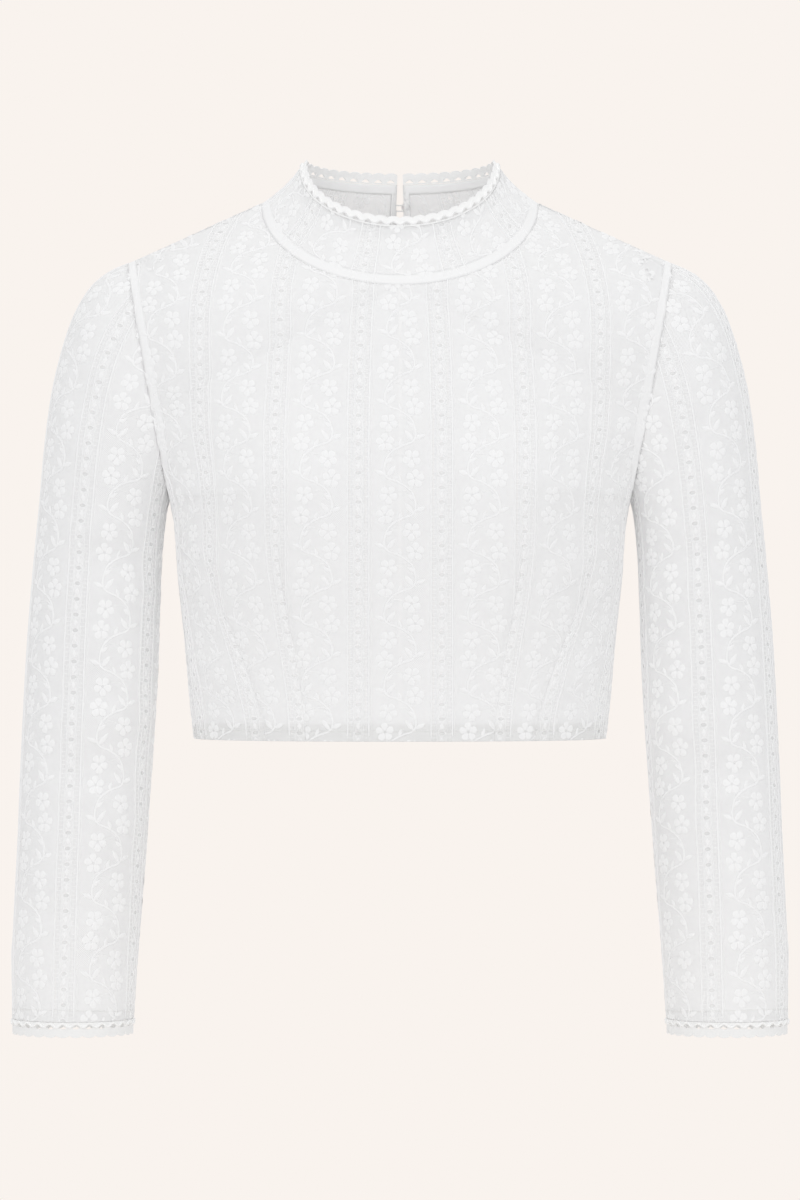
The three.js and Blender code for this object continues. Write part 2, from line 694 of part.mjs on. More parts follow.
// A cord loop from the right back, over the opening and round the button's shank
function buildLoop(name, point, out, up) {
  const onBack = (x, rise) => v3(x, point.y, point.z).addScaledVector(up, rise).addScaledVector(out, loop.lift);
  const bend = [90, 45, 0, -45, -90].map((degrees) => {
    const turn = radians(degrees);
    return onBack(button.inset + loop.bend * Math.cos(turn), loop.bend * Math.sin(turn));
  });
  const route = [
    onBack(-loop.tail, loop.tailBend),
    onBack(0, loop.bend),
    ...bend,
    onBack(0, -loop.bend),
    onBack(-loop.tail, -loop.tailBend),
  ];
  const section = new THREE.Shape();
  section.absarc(0, 0, loop.cord, 0, 2 * Math.PI);
  const geometry = new THREE.ExtrudeGeometry(section, {
    steps: loop.steps,
    curveSegments: 3,
    bevelEnabled: false,
    extrudePath: new THREE.CatmullRomCurve3(route, false, "catmullrom", loop.tension),
  });
  add(name, geometry, colours.tape);
}

buildFront();
buildBack("back_left", 1);
buildBack("back_right", -1);
buildSleeve("sleeve_left", 1);
buildSleeve("sleeve_right", -1);
buildArmholeTape("armhole_tape_left", 1);
buildArmholeTape("armhole_tape_right", -1);
neckStrip("collar", [...collar.rows.keys()], 0, lace.wall, colours.lace);
const insideLace = lace.wall + tape.clear;
neckStrip("neck_seam_tape", [0, 1], insideLace, insideLace + tape.wall, colours.tape);
neckStrip("collar_tape", [3, 4], insideLace, insideLace + tape.wall, colours.tape);
buildCollarEdging();
for (const [side, hand] of [["left", 1], ["right", -1]]) {
  buildCuffEdging(`cuff_edging_${side}_front`, hand, true);
  buildCuffEdging(`cuff_edging_${side}_back`, hand, false);
}
closingPlaces().forEach(({ point, up }, i) => {
  const out = up.clone().cross(v3(1, 0, 0)).normalize();
  buildButton(`button_${i + 1}`, point, out, up);
  buildLoop(`loop_${i + 1}`, point, out, up);
});

export default group;
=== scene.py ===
# %% [markdown]
# # A blouse of flower lace
#
# This is the short, long-sleeved blouse that is worn under a dirndl. It is sewn from stretch lace: a
# sheer net with stripes of embroidered flowers, and between the stripes a narrow band of ladders and
# eyelets. A stand collar, scalloped edging at collar and cuffs, darts under the bust and a row of
# loops and buttons down the centre back make up the rest.
#
# The work runs as it does in a sewing room. First the shape of each panel is worked out from a few
# sizes. Then each panel is laid flat, which gives every point its place on the cloth. Last, the lace
# is drawn once, on a flat repeat, and laid over every panel through those places.

# %% Setup
import math

import bmesh
import bpy
import numpy as np
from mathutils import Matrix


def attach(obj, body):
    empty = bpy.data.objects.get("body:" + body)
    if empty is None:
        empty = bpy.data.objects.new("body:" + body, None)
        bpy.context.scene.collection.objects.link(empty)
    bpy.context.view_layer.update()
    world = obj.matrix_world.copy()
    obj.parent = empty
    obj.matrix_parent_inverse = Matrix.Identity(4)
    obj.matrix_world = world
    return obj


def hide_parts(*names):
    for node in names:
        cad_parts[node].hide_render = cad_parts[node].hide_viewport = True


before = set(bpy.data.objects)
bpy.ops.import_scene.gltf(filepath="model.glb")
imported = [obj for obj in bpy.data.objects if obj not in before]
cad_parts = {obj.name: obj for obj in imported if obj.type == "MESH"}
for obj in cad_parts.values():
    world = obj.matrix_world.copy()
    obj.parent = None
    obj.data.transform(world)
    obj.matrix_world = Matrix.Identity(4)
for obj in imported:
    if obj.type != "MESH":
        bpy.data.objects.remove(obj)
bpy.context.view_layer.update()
MM = 0.001  # lengths in the tables below are in millimetres, as on a pattern sheet
BODY = "root"
print("pieces to dress:", len(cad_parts))

# %% [markdown]
# ## Small tools for curves
#
# A dressmaker draws a side seam through a few measured points and lets the curve run smoothly between
# them. The helper `through` does the same for one column of a table. Everything works on whole arrays
# at once, because a panel has thousands of points and a Python loop over them would be slow.


# %% Curves through measured points
def lerp(a, b, s):
    return a + (b - a) * s


def smooth(s):
    s = np.clip(s, 0, 1)
    return s * s * (3 - 2 * s)


def unit(vectors):
    return vectors / np.maximum(np.linalg.norm(vectors, axis=-1, keepdims=True), 1e-12)


def through(rows, key, column):
    """Smooth curve through one column of a table whose rows rise in the key column."""
    at = np.array([row[key] for row in rows], float)
    value = np.array([row[column] for row in rows], float)
    slope = np.empty_like(value)
    slope[1:-1] = (value[2:] - value[:-2]) / (at[2:] - at[:-2])
    slope[0] = (value[1] - value[0]) / (at[1] - at[0])
    slope[-1] = (value[-1] - value[-2]) / (at[-1] - at[-2])

    def curve(x):
        x = np.clip(np.asarray(x, float), at[0], at[-1])
        i = np.clip(np.searchsorted(at, x), 1, len(at) - 1)
        span = at[i] - at[i - 1]
        s = (x - at[i - 1]) / span
        ends = (2 * s**3 - 3 * s**2 + 1) * value[i - 1] + (3 * s**2 - 2 * s**3) * value[i]
        return ends + span * ((s**3 - 2 * s**2 + s) * slope[i - 1] + (s**3 - s**2) * slope[i])

    return curve


def table(columns, *rows):
    """Rows of numbers under named columns."""
    names = columns.split()
    return [dict(zip(names, row)) for row in rows]


# %% [markdown]
# ## The bodice
#
# The bodice is a tube with an oval section that widens at the bust, and it is the same in front and
# behind but for its depth. It could be modelled by pushing the points of a cylinder, but the seams
# would then drift. Here each row of cloth runs from the centre line round to the side seam on a
# rounded path, so the seams are exact, and fullness for the cups and soft creases are added on top.
# The front has side -1 (towards -Y) and the back has side +1.

# %% The bodice's sizes
HEM_Z, ARMPIT_Z = -352, -185
SHOULDER = {"neck_x": 97, "neck_z": 22, "tip_x": 190, "tip_z": -20}
ARMHOLE = {"bottom_x": 161, "depth": {-1: 48, 1: 46}}
NECKLINE = {-1: {"depth": 86.5, "centre_z": -40}, 1: {"depth": 62, "centre_z": 6}}
SIDE_SEAM = table(
    "z half_width",
    (-352, 144),
    (-325, 147),
    (-283, 150.5),
    (-241, 155),
    (-205, 157.5),
    (-185, 161),
)
CENTRE_FRONT = table(
    "z depth",
    (-352, 98),
    (-310, 102),
    (-270, 107.5),
    (-235, 112.5),
    (-205, 115.8),
    (-180, 116.8),
    (-155, 115.5),
    (-125, 110.5),
    (-90, 102),
    (-60, 93.5),
    (-40, 86.5),
)
CENTRE_BACK = table(
    "z depth",
    (-352, 90),
    (-310, 88),
    (-260, 91),
    (-210, 98),
    (-150, 103),
    (-100, 100),
    (-50, 87),
    (6, 62),
)
FULLNESS = table(
    "side x z rise spread_x spread_up spread_down",
    (-1, 86, -196, 8, 44, 50, 80),
    (-1, 104, -145, 6, 42, 38, 38),
    (1, 96, -140, 6, 45, 45, 45),
)
TORSO_POWER, NECK_ARC, SHOULDER_ARC = 0.85, 62, 35
SEAM_FADE = {"share": 0.02, "level": 0.03}  # cups and creases end this near to a seam
DARTS = {
    "inner": {"bust": 0.318, "hem": 0.252, "depth": 1.6, "take": {-1: 16, 1: 12}},
    "outer": {"bust": 0.631, "hem": 0.402, "depth": 1.2, "take": {-1: 24, 1: 8}},
}
DART_TOP_Z, DART_TAPER, DART_GROOVE = -205, 40, 2.0
GIRTH = 1.4  # the way round from centre to side seam, against the half width
CREASES = table(
    "side x z half lean width rise",
    (-1, 138, -222, 34, 52, 9, 2.2),
    (-1, 143, -262, 26, 40, 8, -1.8),
    (-1, 130, -305, 30, 62, 9, 1.6),
    (-1, 160, -128, 30, -72, 9, -2.0),
    (-1, 146, -240, 20, 47, 5, 0.9),
    (-1, 150, -203, 18, 60, 5, -0.8),
    (-1, 112, -228, 22, 20, 6, 0.7),
    (-1, 60, -300, 40, 4, 9, -0.9),
    (-1, 20, -318, 26, -8, 8, 0.6),
    (-1, 150, -95, 26, -64, 7, 0.8),
    (1, 120, -140, 42, -64, 11, 2.4),
    (1, 132, -228, 36, 48, 10, 2.2),
    (1, 70, -318, 32, 12, 10, -1.8),
    (1, 60, -180, 40, 70, 9, 0.9),
    (1, 30, -250, 34, 80, 8, -0.8),
    (1, 136, -285, 24, 35, 7, -0.9),
)

half_width_at = through(SIDE_SEAM, "z", "half_width")
depth_at = {-1: through(CENTRE_FRONT, "z", "depth"), 1: through(CENTRE_BACK, "z", "depth")}
print("bodice: hem", 2 * SIDE_SEAM[0]["half_width"], "mm across, shoulders", 2 * SHOULDER["tip_x"], "mm")

# %% [markdown]
# A level runs from 0 at the hem by 1 at the armpit and 2 at the neckline to 3 at the shoulder seam, and
# a share runs from 0 at the centre to 1 at the side seam or armhole. So two numbers name any point of
# a panel, and front, back, tapes and stitches can all ask for the same point.

# %% Points of the bodice
NECKLINE_TURN = 5 / 12  # of the armhole's half turn, where the neckline's level meets it


def height_of(side, level):
    top = NECKLINE[side]["centre_z"]
    return np.where(level <= 1, lerp(HEM_Z, ARMPIT_Z, level), lerp(ARMPIT_Z, top, np.clip(level - 1, 0, 1)))


def neckline_point(side, quarter):
    """A point of the neckline, from 0 at the centre to 1 at the shoulder."""
    turn = quarter * math.pi / 2
    neck = NECKLINE[side]
    x = SHOULDER["neck_x"] * np.sin(turn)
    y = side * neck["depth"] * np.cos(turn)
    return x, y, lerp(neck["centre_z"], SHOULDER["neck_z"], 1 - np.cos(turn))


def armhole_point(side, turn):
    """A point of the armhole: 0 at the armpit, half a turn at the shoulder tip."""
    share = (1 - np.cos(turn)) / 2
    x = lerp(ARMHOLE["bottom_x"], SHOULDER["tip_x"], share)
    return x, side * ARMHOLE["depth"][side] * np.sin(turn), lerp(ARMPIT_Z, SHOULDER["tip_z"], share)


def inner_end(side, level):
    z = height_of(side, level)
    on_centre = (0 * z, side * depth_at[side](z), z)
    on_neck = neckline_point(side, np.clip(level - 2, 0, 1))
    return [np.where(level > 2, a, b) for a, b in zip(on_neck, on_centre)]


def outer_end(side, level):
    z = height_of(side, level)
    on_side = (half_width_at(z), 0 * z, z)
    low = np.clip(level - 1, 0, 1) * NECKLINE_TURN
    turn = math.pi * (low + np.clip(level - 2, 0, 1) * (1 - NECKLINE_TURN))
    return [np.where(level > 1, a, b) for a, b in zip(armhole_point(side, turn), on_side)]


def dart_share(level, name):
    """Where a dart's line stands, as a share of the way from centre to side."""
    z = height_of(-1, np.minimum(level, 1))
    rise = smooth((z - HEM_Z) / (DART_TOP_Z - HEM_Z))
    return lerp(DARTS[name]["hem"], DARTS[name]["bust"], rise)


def crease_rise(x, z, crease):
    lean = math.radians(crease["lean"])
    dx, dz = x - crease["x"], z - crease["z"]
    along = dx * math.sin(lean) + dz * math.cos(lean)
    across = dx * math.cos(lean) - dz * math.sin(lean)
    return crease["rise"] * np.exp(-((along / crease["half"]) ** 4) - (across / crease["width"]) ** 2)


def body_points(side, level, share):
    """Points of the bodice's outer face, on the +X half."""
    inner, outer = inner_end(side, level), outer_end(side, level)
    above, top = smooth(level - 1), smooth(level - 2)
    arc = np.radians(lerp(lerp(90, NECK_ARC, above), SHOULDER_ARC, top))
    power = lerp(TORSO_POWER, 1, above)
    out = (np.sin(arc * share) / np.sin(arc)) ** power
    back = np.maximum(0, (np.cos(arc * share) - np.cos(arc)) / (1 - np.cos(arc))) ** power
    x = lerp(inner[0], outer[0], out)
    y = lerp(outer[1], inner[1], back)
    z = lerp(inner[2], outer[2], out)
    free = np.minimum(smooth((1 - share) / SEAM_FADE["share"]), smooth((3 - level) / SEAM_FADE["level"]))
    for full in (row for row in FULLNESS if row["side"] == side):
        spread = np.where(z > full["z"], full["spread_up"], full["spread_down"])
        away = ((x - full["x"]) / full["spread_x"]) ** 2 + ((z - full["z"]) / spread) ** 2
        y = y + side * free * full["rise"] * np.exp(-away)
    for crease in (row for row in CREASES if row["side"] == side):
        y = y + side * free * crease_rise(x, z, crease)
    sewn = smooth((DART_TOP_Z - z) / DART_TAPER)
    for name, dart in DARTS.items():
        away = (share - dart_share(level, name)) * half_width_at(z) * GIRTH
        y = y - side * dart["depth"] * sewn * np.exp(-((away / DART_GROOVE) ** 2))
    return np.stack([x, y, z], axis=-1)


# %% [markdown]
# ## Laying a panel flat
#
# Lace can't be drawn on a curved panel directly. A pattern cutter would lay the panel flat, and so does
# this cell. From the first column of points it walks across every row, and adds up how far each step
# goes across the cloth and how far up it. The result is a place in millimetres on flat cloth for
# every point. Blender's own unwrapping could do it too, but it would turn and shift each panel freely,
# and the stripes have to run straight down from the shoulders.


# %% Laying a grid of points flat
def outward(points, sign):
    across = np.gradient(points, axis=1)
    up = np.gradient(points, axis=0)
    return sign * unit(np.cross(across, up))


def lay_flat(points, outs, up, start=0):
    """Millimetres across and up the flat cloth, measured out from the start column."""
    across = unit(np.cross(np.broadcast_to(up, outs.shape), outs))
    along = np.cross(outs, across)

    def steps(axis):
        move = np.diff(points, axis=axis)
        count = points.shape[axis]
        early, late = range(count - 1), range(1, count)
        means = [(field.take(early, axis) + field.take(late, axis)) / 2 for field in (across, along)]
        return [(move * mean).sum(axis=-1) for mean in means]

    flat = []
    for to_side, to_top in zip(steps(1), steps(0)):
        run = np.concatenate([np.zeros((len(points), 1)), np.cumsum(to_side, axis=1)], axis=1)
        rise = np.concatenate([[0], np.cumsum(to_top[:, start])])
        flat.append(rise[:, None] + run - run[:, [start]])
    return np.stack(flat, axis=-1)


def patch(points, outs, uv):
    return {"points": points, "outs": outs, "uv": uv}


def relaxed(points, outs, up, uv, start, rounds=14, steps=160):
    """Even out the stretch of a flattened grid, as cloth does when it is smoothed on the table.

    Each point first takes the turn that suits the edges round it, and then all points move together
    to where the turned edges fit best. The flat cloth is held as complex numbers.
    """
    across = unit(np.cross(np.broadcast_to(up, outs.shape), outs))
    along = np.cross(outs, across)
    everywhere = slice(None)
    near, far = slice(None, -1), slice(1, None)
    pairs = [
        ((everywhere, near), (everywhere, far)),
        ((near, everywhere), (far, everywhere)),
        ((near, near), (far, far)),
        ((near, far), (far, near)),
    ]
    edges = []
    for a, b in pairs:
        move = points[b] - points[a]
        means = [(field[a] + field[b]) / 2 for field in (across, along)]
        edges.append((a, b, (move * means[0]).sum(-1) + 1j * (move * means[1]).sum(-1)))

    def gather(flows):
        total = np.zeros(uv.shape[:2], complex)
        for (a, b, _), flow in zip(edges, flows):
            total[a] -= flow
            total[b] += flow
        return total

    flat = uv[..., 0] + 1j * uv[..., 1]
    for _ in range(rounds):
        turn = np.zeros(flat.shape, complex)
        for a, b, edge in edges:
            fit = np.conj(edge) * (flat[b] - flat[a])
            turn[a] += fit
            turn[b] += fit
        turn /= np.abs(turn)
        wanted = gather([edge * (turn[a] + turn[b]) / 2 for a, b, edge in edges])
        rest = wanted - gather([flat[b] - flat[a] for a, b, _ in edges])
        way, size = rest, np.vdot(rest, rest).real
        for _ in range(steps):
            pull = gather([way[b] - way[a] for a, b, _ in edges])
            step = size / np.vdot(way, pull).real
            flat = flat + step * way
            rest = rest - step * pull
            new_size = np.vdot(rest, rest).real
            way, size = rest + way * new_size / size, new_size
    grain = flat[len(flat) // 2, start] - flat[0, start]
    flat = (flat - flat[0, start]) * 1j * np.conj(grain) / abs(grain)
    return np.stack([flat.real, flat.imag], axis=-1)


def mirrored(piece):
    """The same patch on the -X side."""
    flip = np.array([-1, 1, 1])
    return patch(piece["points"] * flip, piece["outs"] * flip, piece["uv"] * np.array([-1, 1]))


FOLD_ROUND = 0.5
FOLD_GAP = 1.0
HEM_STEPS = [0, 0.35, 0.9, 2.5, 6.5, 11.8]  # rows close together where the hem folds
EDGE_STEPS = [0, 0.35, 0.9, 2.5, 6.0]  # and columns at the centre back
CLEAR_ROW = 8  # a row above every fold, where a panel's width is measured


def turned_in(piece, axis, count):
    """Fold the first rows or columns behind the cloth, as a hem's turned edge."""
    folded = {name: np.flip(field.take(range(1, count + 1), axis), axis) for name, field in piece.items()}
    edge = piece["uv"].take([0], axis)
    distance = np.linalg.norm(folded["uv"] - edge, axis=-1, keepdims=True)
    depth = FOLD_GAP * (1 - np.exp(-distance / FOLD_ROUND))
    behind = patch(folded["points"] - folded["outs"] * depth, -folded["outs"], 2 * edge - folded["uv"])
    return {name: np.concatenate([behind[name], piece[name]], axis=axis) for name in piece}


# %% [markdown]
# A bodice panel is made of gores between the darts. At a dart a wedge of cloth is pinched away, so on
# the flat cloth there is a gap between two gores that widens towards the hem, while on the blouse
# their edges meet. The stripes of lace lean in along the darts for this reason alone.

# %% The bodice's gores
ROW_STEP, COLUMN_STEP, NECK_ROWS = 3.2, 3.4, 36
GORE_WIDTHS = (76, 72, 84)
DART_STEPS, CENTRE_STEPS = [0, 1.2, 2.6], [0, 3.0]
BACK_GAP, GAP_REACH = 1.0, 4  # the backs part at the centre, and within a few millimetres they are true again


def even(low, high, step):
    return np.linspace(low, high, max(2, round(abs(high - low) / step) + 1))


def body_levels(side):
    low = np.array(HEM_STEPS) / (ARMPIT_Z - HEM_Z)
    rest = even(HEM_Z + HEM_STEPS[-1], ARMPIT_Z, ROW_STEP)[1:]
    middle = even(ARMPIT_Z, NECKLINE[side]["centre_z"], ROW_STEP)[1:]
    middle = 1 + (middle - ARMPIT_Z) / (NECKLINE[side]["centre_z"] - ARMPIT_Z)
    top = even(2, 3, 1 / NECK_ROWS)[1:]
    return np.concatenate([low, (rest - HEM_Z) / (ARMPIT_Z - HEM_Z), middle, top])


def gore_shares(low, high, width, edge_steps):
    """Column shares of a gore, closer together beside a dart or a folded edge."""
    near_low = [low + (high - low) * step / width for step in edge_steps]
    near_high = [high - (high - low) * step / width for step in reversed(DART_STEPS)]
    count = max(2, round(width / COLUMN_STEP) - len(edge_steps) - 2)
    between = [lerp(near_low[-1], near_high[0], i / count) for i in range(1, count)]
    return np.stack([*near_low, *between, *near_high], axis=-1)


def body_half(side, start_gap):
    """The gores of half a bodice on the +X side, from the centre to the side seam."""
    level = body_levels(side)
    lines = [0 * level, dart_share(level, "inner"), dart_share(level, "outer"), 0 * level + 1]
    first = EDGE_STEPS if start_gap else CENTRE_STEPS
    blocks = [
        gore_shares(low, high, width, first if i == 0 else DART_STEPS)
        for i, (low, high, width) in enumerate(zip(lines, lines[1:], GORE_WIDTHS))
    ]
    share = np.concatenate(blocks, axis=1)
    points = body_points(side, np.broadcast_to(level[:, None], share.shape), share)
    points[..., 0] += start_gap * np.exp(-points[..., 0] / GAP_REACH) * (level[:, None] <= 2)
    outs = outward(points, -side)
    uv = lay_flat(points, outs, (0, 0, 1))
    uv[..., 0] -= side * start_gap
    taken = smooth((DART_TOP_Z - points[:, 0, 2]) / (DART_TOP_Z - HEM_Z))
    gores, column, intake = [], 0, 0
    for block, name in zip(blocks, ("inner", "outer", None)):
        columns = slice(column, column + block.shape[1])
        moved = uv[:, columns] - side * intake * taken[:, None, None] * np.array([1, 0])
        gores.append(patch(points[:, columns], outs[:, columns], moved))
        column += block.shape[1]
        intake += DARTS[name]["take"][side] if name else 0
    if start_gap:
        gores[0] = turned_in(gores[0], 1, len(EDGE_STEPS) - 1)
    return [turned_in(gore, 0, len(HEM_STEPS) - 1) for gore in gores]


front_half = body_half(-1, 0)
back_half = body_half(1, BACK_GAP)
gore_ends = [gore["uv"][CLEAR_ROW, -1, 0] for gore in front_half]
print("front half at the hem ends on the cloth at", [round(float(u)) for u in gore_ends], "mm")

# %% [markdown]
# ## The sleeves
#
# A sleeve is a tapering tube, but its top is cut as a cap that leans over to meet the shoulder. Each
# section is an oval between an inner point, under the arm, and an outer one. Near the armhole the
# sections stand almost upright and further down they lie level, so the rings of points swing round as
# the real cloth does. Creases are soft ridges round the elbow, where cloth that has been worn keeps
# them.

# %% The sleeve's sizes
SLEEVE = table(
    "in_x in_z out_x out_z mid_y front back",
    (185.3, -546, 269.5, -546, -23.2, 40, 40),
    (184.6, -536.5, 269.6, -536.5, -22.5, 40, 40),
    (183, -510, 270, -508.5, -20, 41, 41),
    (180, -470, 268.5, -466, -16.5, 42, 42),
    (177, -430, 266.5, -422, -13, 43, 43),
    (174.5, -392, 265, -378, -10, 43.5, 43.5),
    (172, -355, 263, -332, -7.5, 44, 44),
    (170, -322, 260.5, -285, -5.5, 44.5, 44.5),
    (168.7, -292, 256.5, -234, -4, 45, 45),
    (168, -265, 252, -187, -3, 45.5, 45.5),
    (167.3, -243, 248.3, -145, -2, 46.5, 46.5),
    (166.5, -226, 243, -108, -2, 47.5, 47.5),
    (165.5, -213, 236, -79, -1, 48.5, 48.5),
    (164.5, -203, 227.5, -55, -1, 49.5, 49.5),
    (163.5, -196, 216, -36, 0, 50, 50),
    (162.5, -190, 203, -25.5, 0, 49, 49),
    (161, -185, 190, -20, 0, 48, 46),
)
SLEEVE_CREASES = table(
    "z around half width rise",
    (-226, 70, 30, 13, -2.4),
    (-338, 60, 34, 14, 2.0),
    (-372, 82, 30, 13, -2.2),
    (-408, 55, 26, 13, 1.8),
    (-350, 290, 34, 15, -2.0),
    (-450, 250, 30, 15, 1.8),
    (-250, 40, 26, 7, 0.9),
    (-208, 95, 24, 8, 0.8),
    (-322, 100, 22, 6, -0.8),
    (-392, 75, 30, 5, 0.8),
    (-470, 110, 34, 9, -0.8),
    (-300, 300, 30, 8, 0.9),
    (-395, 275, 26, 8, -0.9),
    (-500, 200, 30, 8, 0.6),
)
CREASE_RADIUS, CAP_FADE = 45, 12  # the creases end this near to the armhole
ARM_AXIS = unit(np.array([-32.0, 23.0, 381.0]))  # from the middle of the cuff up to the armhole
CUFF_STEPS = [0, 0.35, 0.9, 2.2, 4.6, 7.5]
SLEEVE_COLUMNS, SLEEVE_STEP = 80, 3.4

length = 0.0
for row, below in zip(SLEEVE, [SLEEVE[0], *SLEEVE]):
    inner_step = math.hypot(row["in_x"] - below["in_x"], row["in_z"] - below["in_z"])
    outer_step = math.hypot(row["out_x"] - below["out_x"], row["out_z"] - below["out_z"])
    length += (inner_step + outer_step) / 2
    row["length"] = length
sleeve_at = {name: through(SLEEVE, "length", name) for name in SLEEVE[0] if name != "length"}


def sleeve_points(length, turn):
    """Points of the left sleeve, by length up from the cuff and turn from the armpit round by the front."""
    at = {name: curve(length) for name, curve in sleeve_at.items()}
    share = (1 - np.cos(turn)) / 2
    depth = np.where(np.sin(turn) > 0, at["front"], at["back"])
    x = lerp(at["in_x"], at["out_x"], share)
    y = at["mid_y"] - depth * np.sin(turn)
    z = lerp(at["in_z"], at["out_z"], share)
    away_x, away_y = x - (at["in_x"] + at["out_x"]) / 2, y - at["mid_y"]
    reach = np.maximum(np.hypot(away_x, away_y), 1e-9)
    rise = 0 * z
    for crease in SLEEVE_CREASES:
        around = (np.degrees(turn) - crease["around"] + 540) % 360 - 180
        along = np.radians(around) * CREASE_RADIUS / crease["half"]
        rise = rise + crease["rise"] * np.exp(-(along**4) - ((z - crease["z"]) / crease["width"]) ** 2)
    rise = rise * smooth((SLEEVE[-1]["length"] - length) / CAP_FADE)
    return np.stack([x + rise * away_x / reach, y + rise * away_y / reach, z], axis=-1)


def sleeve_patch():
    lengths = np.concatenate([CUFF_STEPS, even(CUFF_STEPS[-1], SLEEVE[-1]["length"], SLEEVE_STEP)[1:]])
    turns = np.linspace(0, 2 * math.pi, SLEEVE_COLUMNS + 1)
    grid_length, grid_turn = np.meshgrid(lengths, turns, indexing="ij")
    points = sleeve_points(grid_length, grid_turn)
    outs = outward(points, 1)
    ends = unit(outs[:, 0] + outs[:, -1])
    outs[:, 0] = outs[:, -1] = ends
    uv = lay_flat(points, outs, ARM_AXIS, start=SLEEVE_COLUMNS // 2)
    uv = relaxed(points, outs, ARM_AXIS, uv, start=SLEEVE_COLUMNS // 2)
    return turned_in(patch(points, outs, uv), 0, len(CUFF_STEPS) - 1)


sleeve_left = sleeve_patch()
sleeve_round = float(np.ptp(sleeve_left["uv"][CLEAR_ROW, :, 0]))
print("sleeve:", round(SLEEVE[-1]["length"]), "mm long,", round(sleeve_round), "mm round")

# %% [markdown]
# ## The stand collar
#
# The collar stands on the neckline and leans in to its top edge, with a slight waist half-way up. It
# opens at the centre back, where its ends gape a little between the fastenings. It is cut as a straight
# strip and stretched at its foot when it is sewn on, so its stripes stand upright all the way round.
# The same formula also gives the tapes that are sewn inside it.

# %% The collar's sizes
COLLAR = {-1: {"depth": 63, "centre_z": 1}, 1: {"depth": 52, "centre_z": 39}}
COLLAR_SIDE = {"x": 70.5, "z": 46.5}
COLLAR_WAIST, COLLAR_ROWS = 2.5, 15
COLLAR_GAPE = table("share gap", (0, 1), (0.18, 1.9), (0.5, 2.6), (0.8, 2.2), (1, 1.9))
GAPE_REACH = 0.06  # how far round the collar its gaping end is felt
collar_gap_at = through(COLLAR_GAPE, "share", "gap")


def collar_points(quarter, share):
    """Points of half the collar: quarter runs from 0 at the centre front by 1 to 2 at the centre back."""
    sides = []
    for side, step in ((-1, np.minimum(quarter, 1)), (1, np.minimum(2 - quarter, 1))):
        base = np.stack(neckline_point(side, step), axis=-1)
        turn = step * math.pi / 2
        rim = COLLAR[side]
        x, y = COLLAR_SIDE["x"] * np.sin(turn), side * rim["depth"] * np.cos(turn)
        top = np.stack([x, y, lerp(rim["centre_z"], COLLAR_SIDE["z"], 1 - np.cos(turn))], axis=-1)
        bow = COLLAR_WAIST * 4 * share * (1 - share)
        inwards = unit(base * np.array([1, 1, 0]))
        sides.append(lerp(base, top, share[..., None]) - inwards * bow[..., None])
    points = np.where((quarter > 1)[..., None], sides[1], sides[0])
    points[..., 0] += collar_gap_at(share) * np.exp(-((2 - quarter) / GAPE_REACH) ** 2)
    return points


def collar_half(shares, quarters):
    grid_share, grid_quarter = np.meshgrid(shares, quarters, indexing="ij")
    points = collar_points(grid_quarter, grid_share)
    outs = outward(points, 1)
    outs[:, 0] = unit(outs[:, 0] * np.array([0, 1, 1]))
    around, upwards = (np.linalg.norm(np.diff(points, axis=axis), axis=-1) for axis in (1, 0))
    u = np.concatenate([[0], np.cumsum(around[len(around) // 2])])
    v = np.concatenate([np.zeros((1, len(quarters))), np.cumsum(upwards, axis=0)])
    return patch(points, outs, np.stack([np.broadcast_to(u, v.shape), v], axis=-1))


COLLAR_QUARTERS = np.concatenate([np.linspace(0, 1.93, 66), 2 - np.array([0.045, 0.02, 0.008, 0.003, 0])])
collar_left = collar_half(np.linspace(0, 1, COLLAR_ROWS), COLLAR_QUARTERS)
print("collar:", round(2 * float(collar_left["uv"][0, -1, 0])), "mm round its foot,",
      round(2 * float(collar_left["uv"][-1, -1, 0])), "mm round its top")


# %% [markdown]
# ## From patches to cloth
#
# A finished panel is a thin shell: one smooth sheet of quads, with Solidify giving it the thickness of
# the net. The same patches, laid flat, make the paper pattern of the panel. Each pattern point keeps
# two notes, where it is sewn to (`shape`) and which way the cloth faces there (`out`), and the lace is
# later carried from the paper to the blouse by them.

# %% Cloth and paper from the same patches
NET_THICK = 0.35
SEAM_WELD = 0.02 * MM
LACE = {"across": 57.0, "up": 49.5}


def to_lace(pieces, across, up, stretch=1.0):
    """Count the flat cloth from the middle of a flower stripe, with its stretch along the stripe."""
    move, scale = np.array([across, up]), np.array([1, 1 / stretch])
    return [patch(piece["points"], piece["outs"], (piece["uv"] - move) * scale) for piece in pieces]


def flat_size(pieces):
    """Width, length and area of the flat cut, in metres."""
    corners = np.concatenate([piece["uv"].reshape(-1, 2) for piece in pieces]) * MM
    area = 0
    for piece in pieces:
        uv = piece["uv"] * MM
        one, two = uv[1:, 1:] - uv[:-1, :-1], uv[1:, :-1] - uv[:-1, 1:]
        area += abs(one[..., 0] * two[..., 1] - one[..., 1] * two[..., 0]).sum() / 2
    width, long = np.ptp(corners, axis=0)
    return float(width), float(long), float(min(area, width * long))


